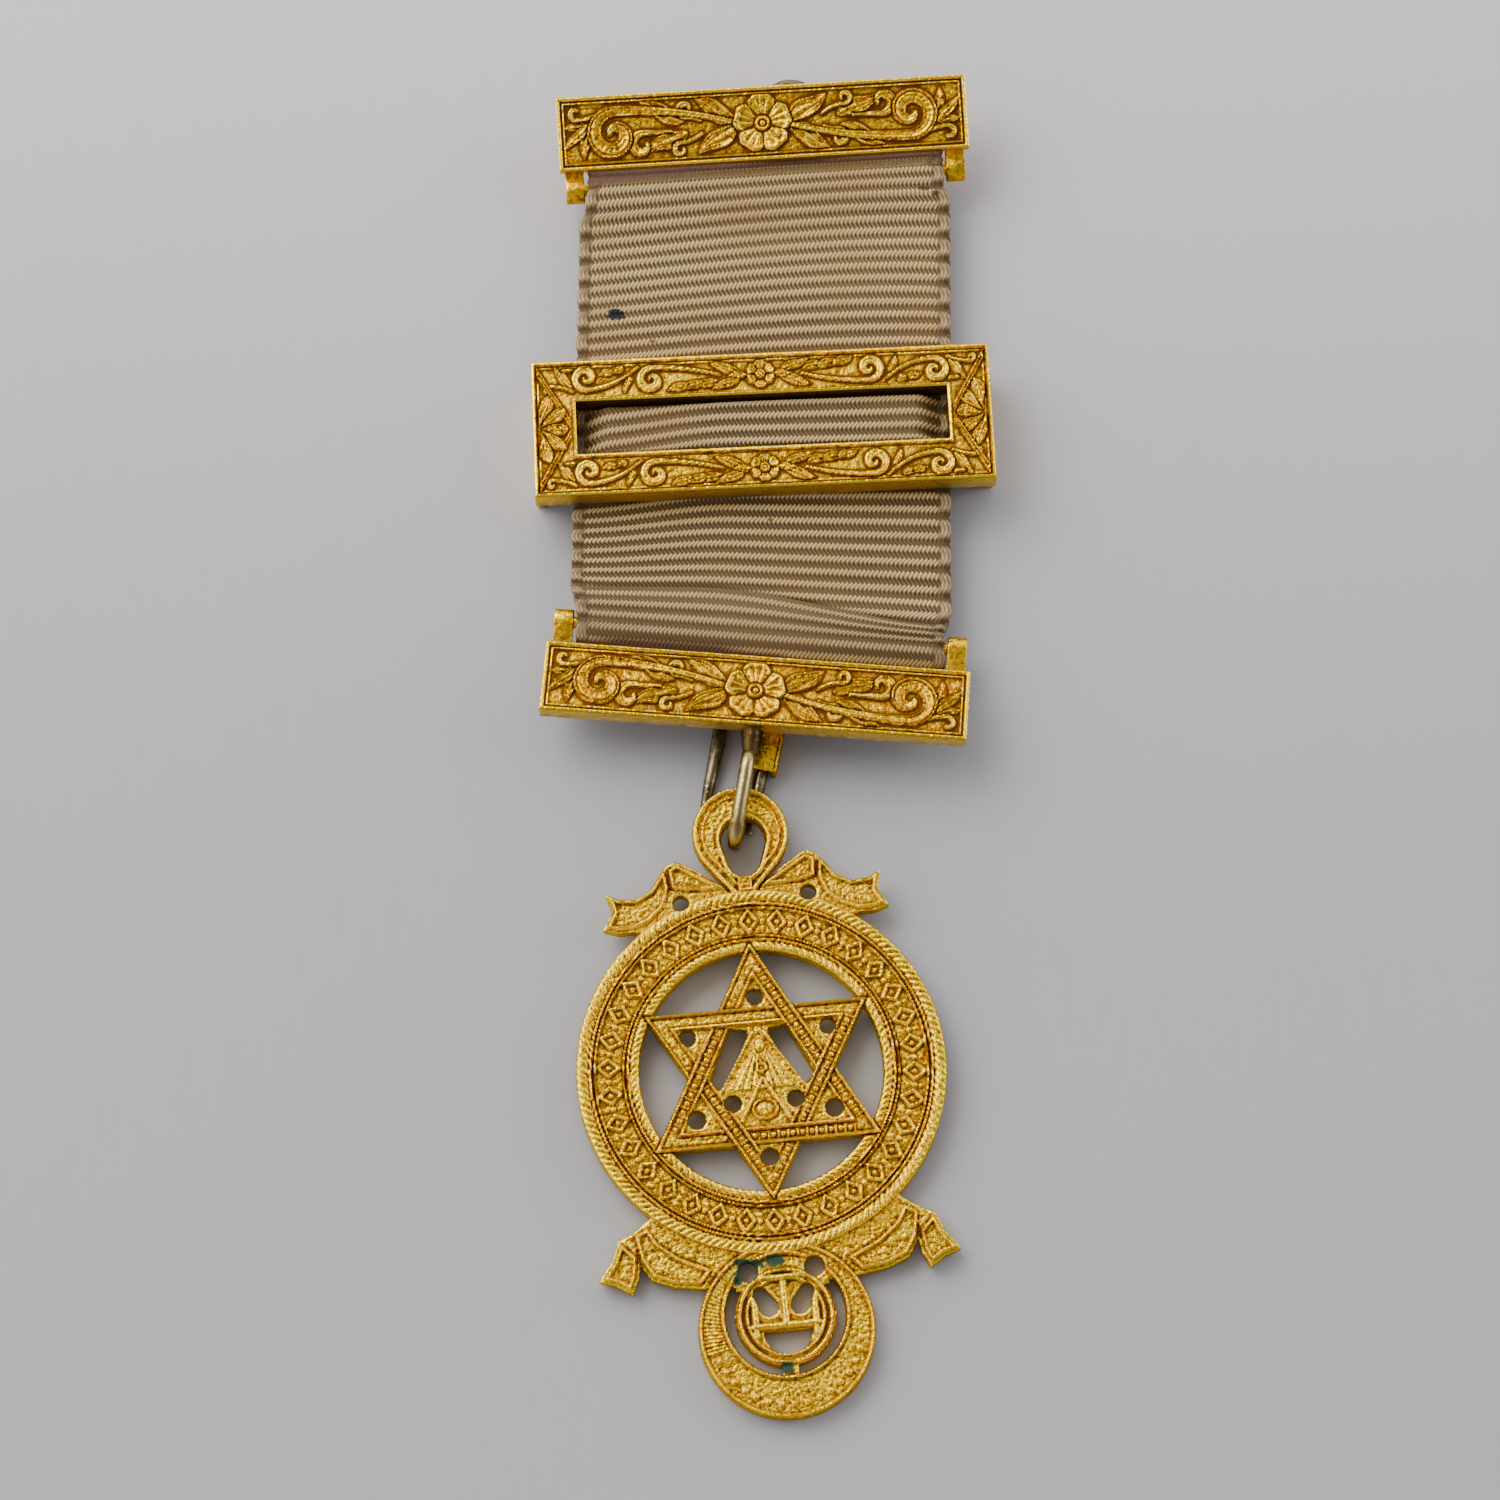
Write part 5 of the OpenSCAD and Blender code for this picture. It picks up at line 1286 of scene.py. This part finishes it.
def folds_of(x, y, shapes, seed):
    """Heights of stippled metal with framed folds laid on it, and the cut lines round them."""
    h = 0.045 * pebbles(x, y, STIPPLE, seed) + 0.02 * pebbles(x, y, 0.35, seed + 1)
    cuts = np.zeros(x.shape)
    fold = 0.06 + 0.04 * pebbles(x, y, STIPPLE, seed + 2)
    for points in shapes:
        out = mirrored(x, y, points)
        outside = np.maximum(cuts, 0.6 * dip(out - 0.06, 0.10))
        cuts = np.where(out < 0, 0.75 * dip(out + 0.46, 0.09), outside)
        h = np.where(out < 0, np.maximum(fold, framed(out)), h - 0.08 * dip(out, 0.1))
    return h, cuts


def beside_band(x, y, h, cut_dirt_and_shade, where, outline):
    """A smooth, dirty hollow beside the band, dirt round the holes, and eased edges."""
    low = dip(np.hypot(x, y) - R, 0.75) * where
    cut_dirt_and_shade = highest(cut_dirt_and_shade, 0.38 * low, 0.35 * dip(holes(x, y) - 0.05, 0.4))
    return PLATE_T + eased(h * (1 - 0.8 * low), -outline(x, y)), cut_dirt_and_shade


def bow_outline(x, y):
    body = np.maximum(np.minimum(loop_body(x, y), mirrored(x, y, BOW_TAIL)), R - UNDER_BAND - np.hypot(x, y))
    return np.maximum(body, -np.minimum(loop_hole(x, y), holes(x, y)))


def bow_face(x, y):
    h, cuts = folds_of(x, y, (BOW_LAST, BOW_FIRST), 31)
    loop = loop_body(x, y)
    inner = np.maximum(loop, -loop_hole(x, y))
    lined = highest(0.08 + 0.05 * pebbles(x, y, 0.19, 34), framed(inner, 0.40),
                    LINE_H * 0.8 * ridge(loop + 0.84, 0.26))
    h = np.where(loop < 0, lined, h - 0.14 * dip(loop, 0.1))
    outside = np.maximum(0.6 * dip(loop - 0.05, 0.12), cuts)
    cut_dirt_and_shade = np.where(loop < 0, 0.8 * dip(inner + 0.58, 0.09), outside)
    # The small square knot on the band's edge
    knot = to_box(x, y, 0.6, 0.66, (0.01 * R, 1.035 * R))
    raised = np.maximum(0.20, LINE_H * 1.1 * ridge(knot + 0.14, 0.26))
    h = np.where(knot < 0, raised, h - 0.12 * dip(knot, 0.08))
    return beside_band(x, y, h, np.maximum(cut_dirt_and_shade, 0.5 * dip(knot - 0.06, 0.10)), loop > 0.1, bow_outline)


cast("medal_bow", (-0.79, 0.79, 0.79, 1.59), BOW_CELL, bow_outline, bow_face)

# %% The scroll, the crescent and the seal
# Lines of the emblem in the seal: ends as shares of the radius from its middle
EMBLEM = (((0, 0.2), (0, -0.05)), ((0, -0.05), (0.17, -0.05)), ((0, 0.205), (0.115, 0.205)),
          ((0.16, 0.1), (0.16, -0.1)))


def seal_windows(x, y):
    sy = y - SEAL[1] * R
    pair = blob(np.abs(x), sy, (0.083, 0.055), 0.05, (0.125, 0.125), 0.04)
    return np.minimum(pair, np.maximum(disc(x, sy, (0.006, -0.078, 0.128)), sy + 0.078 * R))


def foot_outline(x, y):
    neck = np.maximum(to_box(x, y, 0.25 * R, 0.15 * R, (0, -1.03 * R)), -disc(x, y, (0, -1.33, 0.25)))
    body = united(mirrored(x, y, SCROLL), crescent(x, y), disc(x, y, SEAL), neck,
                  to_box(x, y, 0.045 * R, 0.08 * R, (0, -1.63 * R)))
    return highest(body, R - UNDER_BAND - np.hypot(x, y), -np.minimum(seal_windows(x, y), holes(x, y)))


def foot_face(x, y):
    h, edges = folds_of(x, y, (SCROLL_TAIL, SCROLL_BAND), 41)
    moon, seal = crescent(x, y), disc(x, y, SEAL)
    a, from_moon = np.degrees(np.arctan2(y - MOON[1] * R, x)), np.hypot(x, y - MOON[1] * R)
    cut = 0.16 * np.abs(np.sin(np.radians(a) * 62)) * soft(-moon, 0.3, 0.5) * ((a > 120) | (a < -165))
    dots = np.hypot(np.radians(wrapped(a, 10)) * 0.4 * R, from_moon - 0.395 * R)
    beaded = (a < -15) & (a > -165)
    beads = 0.34 * ridge(dots, 0.60) * beaded
    face = highest(0.05 + 0.03 * pebbles(x, y, 0.19, 44), framed(moon), cut, beads)
    h = np.where(moon < 0, face, h - 0.1 * dip(moon, 0.1))
    edges = np.where(moon < 0, 0.55 * dip(dots - 0.36, 0.09) * beaded, edges)
    rims = np.maximum(dip(disc(x, y, MOON) + 0.46, 0.09), dip(disc(x, y, MOON_IN) - 0.46, 0.09))
    sx, sy = np.abs(x) / R, y / R - SEAL[1]
    rs = np.hypot(sx, sy) * R
    form = LINE_H * highest(0.8 * ridge(rs - 0.205 * R, 0.30), ridge(rs - 0.245 * R, 0.36),
                            *(ridge(to_line(sx, sy, a, b)[0] * R, 0.62) for a, b in EMBLEM))
    cuts = 0.6 * dip(rs - 0.224 * R, 0.10) + 0.5 * dip(rs - 0.183 * R, 0.14)
    in_seal = np.maximum(cuts, 0.5 * (form < 0.06)) * (seal < 0)
    cut_dirt_and_shade = highest(0.8 * rims * (moon < 0), edges * (seal > 0), in_seal)
    return beside_band(x, y, np.where(seal < 0, form, h), cut_dirt_and_shade, (moon > 0.1) & (seal > 0), foot_outline)


cast("medal_foot", (-0.98, 0.98, -1.885, -0.72), FOOT_CELL, foot_outline, foot_face)

# %% [markdown]
# ## The ribbon
# The ribbon is one closed band of ribbed silk: down the front, round the lower rod, up the back and
# round the upper rod. A grid is wrapped into that shape: its rows become the rows of the weave, each row
# runs once round the ribbon's section, and the two pairs of edges that meet are merged.

# %% The ribbon's form
RIBS_FRONT, ROWS_RIB, TURN_ROWS, BACK_ROWS = 40, 8, 12, 120
FRONT_ROWS, OUT_COLS, IN_COLS = RIBS_FRONT * ROWS_RIB, 84, 18
TUCK_AT, LOOSE, BULGE = 1 - 3.6 / RIBS_FRONT, 0.95, 1.5
EDGE_IN, LOOP_OUT = 0.26, 0.30  # how far in the edge lies between two loops, and how far each comes out


def ramp(t):
    return (1 + np.cos(np.pi * np.clip(t, 0, 1))) / 2


def wave(ribs):
    """0 between two ribs and 1 on a crest."""
    return 0.5 - 0.5 * np.cos(2 * np.pi * ribs)


def tuck_line(u):
    """How far above the lower rod the ribbon folds over itself: level at the left, low at the right."""
    return 4.1 + RIBBON_W / 2 * tan(-LOW_TURN) * u - 3.6 * soft(u, -0.35, 1.05)


def arch(u, q):
    """How far a row of the weave bends up: arched near the top, dropping at the left lower down."""
    level = soft(q, 0.25, 0.6)
    drop = soft(-0.15 - u, 0.0, 0.85) * soft(q, 0.35, 0.74)
    bend = 0.87 * u + 0.1 + (1 - level) * 0.85 * (1 - u * u) * (1 + 0.45 * u) - 2.4 * drop
    return bend * math.sin(math.pi * q ** 0.8) ** 0.8 * 0.9


def section():
    """Points round the ribbon's section and back to the first: share across, and way out of its middle."""
    t = np.linspace(-1, 1, OUT_COLS)
    u_out = np.sign(t) * (1 - (1 - np.abs(t)) ** 1.25)
    out = np.sqrt(np.clip(1 - np.clip((np.abs(u_out) - 0.965) / 0.035, 0, 1) ** 2, 0, 1))
    u_in = np.linspace(1, -1, IN_COLS + 2)[1:-1] * 0.985
    return np.concatenate([u_out, u_in, u_out[:1]]), np.concatenate([out, -np.ones(IN_COLS), out[:1]])


U, OUT = section()
ROW_X, TUCK = U * RIBBON_W / 2, tuck_line(U)
ROW_TOP, ROW_LOW = top_y + (ROW_X - top_x) * tan(TOP_TURN), low_y + (ROW_X - low_x) * tan(LOW_TURN)
EDGE_LOOPS = np.clip((np.abs(U) - 0.945) / 0.02, 0, 1)
print(f"the ribbon's section has {len(U)} points, its front {FRONT_ROWS} rows")


# %% Rows of the weave: each gives y, z, length along the cloth, and how far it turns smooth, which also sets its painted shade
def front_row(t):
    fold, rib = ROW_LOW + TUCK, (RIB_H + 0.05) * wave(t * RIBS_FRONT)
    if t < TUCK_AT:
        q = t / TUCK_AT
        plain = ROW_TOP + (ROW_LOW + 1.55 - ROW_TOP) * q + arch(U, q)
        under = np.maximum(fold - plain, 0)
        tucked = 1 - np.exp(-under / 0.5)
        y = np.maximum(plain, fold) - 0.3 * tucked
        sunk = 0.5 * soft(fold + 0.5 - y, 0.0, 0.7) + 0.1 * tucked
        swell = 0.10 * dip(y - fold - 1.4, 0.7)
        rib = rib * (under < 0.02)
    else:
        q = (t - TUCK_AT) / (1 - TUCK_AT)
        turn, run = min(q / 0.12, 1), max(q - 0.12, 0) / 0.88
        y = ROW_LOW + TUCK * (1 - run) - 0.3 * (1 - sin(90 * turn))
        sunk, swell = 0.6 * cos(90 * turn) ** 2, 0.42 * sin(90 * turn) ** 2 * (1 - soft(run, 0.4, 1.0))
    edge = 0.12 * EDGE_LOOPS * abs(sin(90 * t * RIBS_FRONT)) - 0.10 * dip(np.abs(U) - 0.935, 0.012)
    off = y - SLIDE_Y - ROW_X * tan(SLIDE_TURN)
    swell = swell + BULGE * soft(2.40 - np.abs(off), 0.0, 0.4) * soft(15.5 - np.abs(ROW_X), 0.0, 2.6)
    d, e = ROW_TOP - y, y - ROW_LOW
    lift = (rod_z + turn_r - front_z) * (ramp(d / 6) + ramp(e / 5))
    lift = lift + 0.05 * (1 + np.sin(np.radians(60 * e + 50 * U))) * ramp(np.abs(e - 7) / 4)
    z = front_z + lift + OUT * RIBBON_T / 2 + np.where(OUT > 0, swell - sunk + edge + rib, 0)
    return y, z, t * RIBS_FRONT * RIB_PITCH, 0


def turn_row(t, low):
    ang = 90 - 180 * t if low else -90 - 180 * t
    in_front, q = sin(ang) > 0, turn_r + OUT * RIBBON_T / 2
    far = abs(cos(ang)) * (q + LOOSE * (1 - 0.3 * soft(U, -0.2, 1) * low))
    flat = 1 - 0.22 * soft(far, 0.5, 1.35) * (1 - soft(far, 1.7, 2.2)) * in_front
    plain = soft(far, 0.1 + 0.7 * soft(U, -1, 0.2), 0.35 + 0.7 * soft(U, -1, 0.2))
    if low:
        bare = 1.7 - 0.45 * dip(U + 0.5, 0.35) + 0.9 * soft(U, 0.0, 0.45)
        plain = soft(far, bare - 0.15, bare + 0.1) if in_front else 1
    reach = turn_r + RIBBON_T / 2 + LOOSE
    near_front = t < 0.5 if low else t > 0.5
    over = np.minimum(far, reach) if near_front else 2 * reach * (t if low else 1 - t)
    q = q + np.where(OUT > 0, RIB_H * wave(over / RIB_PITCH) * (1 - plain), 0)
    z = rod_z + sin(ang) * q * flat
    if low:
        return ROW_LOW - far, z, RIBS_FRONT * RIB_PITCH + over, -plain
    return ROW_TOP + far, z, (2 * RIBS_FRONT + 9) * RIB_PITCH - over, plain


def back_row(t):
    y = ROW_LOW + (ROW_TOP - ROW_LOW) * t
    lift = (rod_z - turn_r - back_z) * (ramp((ROW_TOP - y) / 6) + ramp((y - ROW_LOW) / 5))
    z = back_z + lift - OUT * RIBBON_T / 2 - np.where(OUT > 0, RIB_H * wave(t * RIBS_FRONT), 0)
    return y, z, (RIBS_FRONT + 3 + t * RIBS_FRONT) * RIB_PITCH, 0


# %% Ribbon
def ribbon_mesh():
    rows = []
    for part, count in (("front", FRONT_ROWS), ("low", TURN_ROWS), ("back", BACK_ROWS), ("top", TURN_ROWS)):
        for t in (k / count for k in range(count)):
            maker = {"front": front_row, "back": back_row}.get(part)
            y, z, cloth, smooth = maker(t) if maker else turn_row(t, part == "low")
            within = np.clip(y, ROW_LOW, ROW_TOP)
            from_rod = np.minimum(ROW_TOP - within, within - ROW_LOW)
            w = RIBBON_W / 2 - DRAWN_IN * ramp((from_rod - ear_r - GAP) / 2.4) - EDGE_IN
            w = w + LOOP_OUT * np.abs(np.sin(math.pi * cloth / RIB_PITCH / 2)) ** 0.6
            # Painted shade: the cloth is darkened in the cleft where it folds under itself, where it lies
            # tucked under, and on the back and both turns.
            cleft = dip(within - ROW_LOW - TUCK, 0.28)
            below = 0.6
            if part == "front":
                below = np.maximum(0.55, 1.3 * cleft) if t > TUCK_AT else 1.5 * cleft
            x = U * w - (within - SLIDE_Y) * tan(LEAN)
            rows.append([values + 0 * U for values in (x, y, z, ROW_X, cloth, below, smooth)])
    clear()
    bpy.ops.mesh.primitive_grid_add(x_subdivisions=len(U) - 1, y_subdivisions=len(rows), size=1)
    obj = bpy.context.object
    columns = np.array(rows + rows[:1]).transpose(1, 0, 2).reshape(7, -1)
    set_coords(obj, np.column_stack(columns[:3]))
    for name, values in zip(("across", "along", "below", "turned"), columns[3:]):
        attribute(obj, name, values)
    close_seams(obj)
    return settle(obj, "ribbon_cloth", Matrix.Identity(4), ribbed_silk, 80)


ribbon = ribbon_mesh()
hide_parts("ribbon")

# %% [markdown]
# ## The hanging ring, its solder and the pin
# The ring is a torus whose far half is drawn out, the solder a short cone, and the pin a bent wire whose
# two legs taper to points.

# %% Hanging ring and solder
clear()
bpy.ops.mesh.primitive_torus_add(major_segments=72, minor_segments=28, rotation=(0, math.pi / 2, 0),
                                 major_radius=(RING_RISE - RING_WIRE) / 2, minor_radius=RING_WIRE / 2)
ring = bake_place(bpy.context.object)
co = coords(ring)
co[co[:, 1] < -WELD, 1] -= RING_LEN - RING_RISE
co[:, 1] -= RING_RISE / 2
set_coords(ring, co)
settle(ring, "hanging_ring", RING, ring_silver, 80)

clear()
solder_in = 0.3  # how far the solder reaches into the bar's edge
solder_long = RING_GAP + solder_in + RING_WIRE
bpy.ops.mesh.primitive_cone_add(vertices=40, radius1=1.0, radius2=0.6, depth=solder_long,
                                location=(0, -low_edge + solder_in - solder_long / 2, low_edge_z - 0.1),
                                rotation=(math.pi / 2, 0, 0))
settle(bevelled(bake_place(bpy.context.object), 0.12), "ring_solder", LOW, solder_shaded_brown, 40)

# %% Pin and catch
bend_y = TOP_REACH + BAR_H * cos(TOP_TILT) + PIN_PEEK - PIN_GAUGE / 2 - PIN_D / 2
pin_low_z = LIFT + PIN_D / 2


def pin_leg(side):
    """A leg from the bend to its point, as (x, y, z, radius)."""
    s = side * PIN_GAUGE / 2
    rows = [(TOP, PIN_X, bend_y, pin_up_z, 1), (TOP, PIN_X, block_y - 0.3, pin_up_z, 1),
            (TOP, PIN_X, (block_y + TOP_REACH) / 2, (pin_up_z + pin_low_z) / 2, 1),
            (TOP, PIN_X - 0.1, TOP_REACH, pin_low_z, 1), (LOW, LEG_X + 0.2, -low_edge + 4, pin_low_z, 1),
            (LOW, LEG_X, -low_edge, pin_low_z, 0.95),
            (LOW, (LEG_X + TIP_X) / 2, -(low_edge + PIN_REACH) / 2, pin_low_z * 0.85, 0.78),
            (LOW, TIP_X, -PIN_REACH, LIFT + PIN_TIP / 2, PIN_TIP / PIN_D)]
    return [(*(place @ Vector((px + s, py, 0))).xy, pz, share * PIN_D / 2)
            for place, px, py, pz, share in rows]


def wire(name, stations, material, sides=6):
    curve = bpy.data.curves.new(name, "CURVE")
    curve.dimensions, curve.bevel_depth, curve.bevel_resolution, curve.use_fill_caps = "3D", 1.0, sides, True
    line = curve.splines.new("POLY")
    line.points.add(len(stations) - 1)
    for point, (px, py, pz, pr) in zip(line.points, stations):
        point.co, point.radius = (px, py, pz, 1), pr
    pick(add(name, curve))
    bpy.ops.object.convert(target="MESH")
    close_seams(bpy.context.object)
    return settle(bpy.context.object, name, Matrix.Identity(4), material, 60)


bend = [TOP @ move(PIN_X, bend_y, 0) @ Vector((PIN_GAUGE / 2 * cos(a), PIN_GAUGE / 2 * sin(a), 0))
        for a in range(15, 180, 15)]
stations = pin_leg(1)[::-1] + [(*at.xy, pin_up_z, PIN_D / 2) for at in bend] + pin_leg(-1)
pin = wire("pin_wire", stations, pin_steel)
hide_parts("brooch_pin")

CATCH_T, CATCH_LOW = 0.42, -2.6
catch_z, catch_in, catch_top = LIFT + PIN_D + GAP - rod_z, PIN_D / 2 + GAP, 1.8
catch_low_z = LIFT + SUNK - rod_z - catch_z
splay = math.degrees(math.atan((LEG_X - TIP_X) / (PIN_REACH - low_edge)))
CATCH = LOW @ move(LEG_X + PIN_GAUGE / 2, -low_edge, catch_z) @ spin(-splay, "Z")
for part, x0, y0, z0, z1, round_by in (("plate", -catch_in, CATCH_LOW, 0, CATCH_T, 0.2),
                                       ("side", catch_in, CATCH_LOW, catch_low_z, CATCH_T, 0.12),
                                       ("foot", -catch_in, 0.4, 0, low_edge_z - catch_z + 0.2, 0.1)):
    block(f"catch_{part}", (x0, y0, z0), (catch_in + CATCH_T, catch_top, z1), CATCH, round_by=round_by)

# %% Finishes for the rods and the final size
for node in ("top_rod", "lower_rod"):
    rod = frame["nodes"][node]
    rod.data.materials.clear()
    rod.data.materials.append(plain_gilt)
for piece in bpy.data.objects:
    piece.type == "MESH" and piece.get("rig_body") and not piece.get("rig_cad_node")
dressed = [list(corner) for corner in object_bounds()]
print_size("dressed size", dressed)
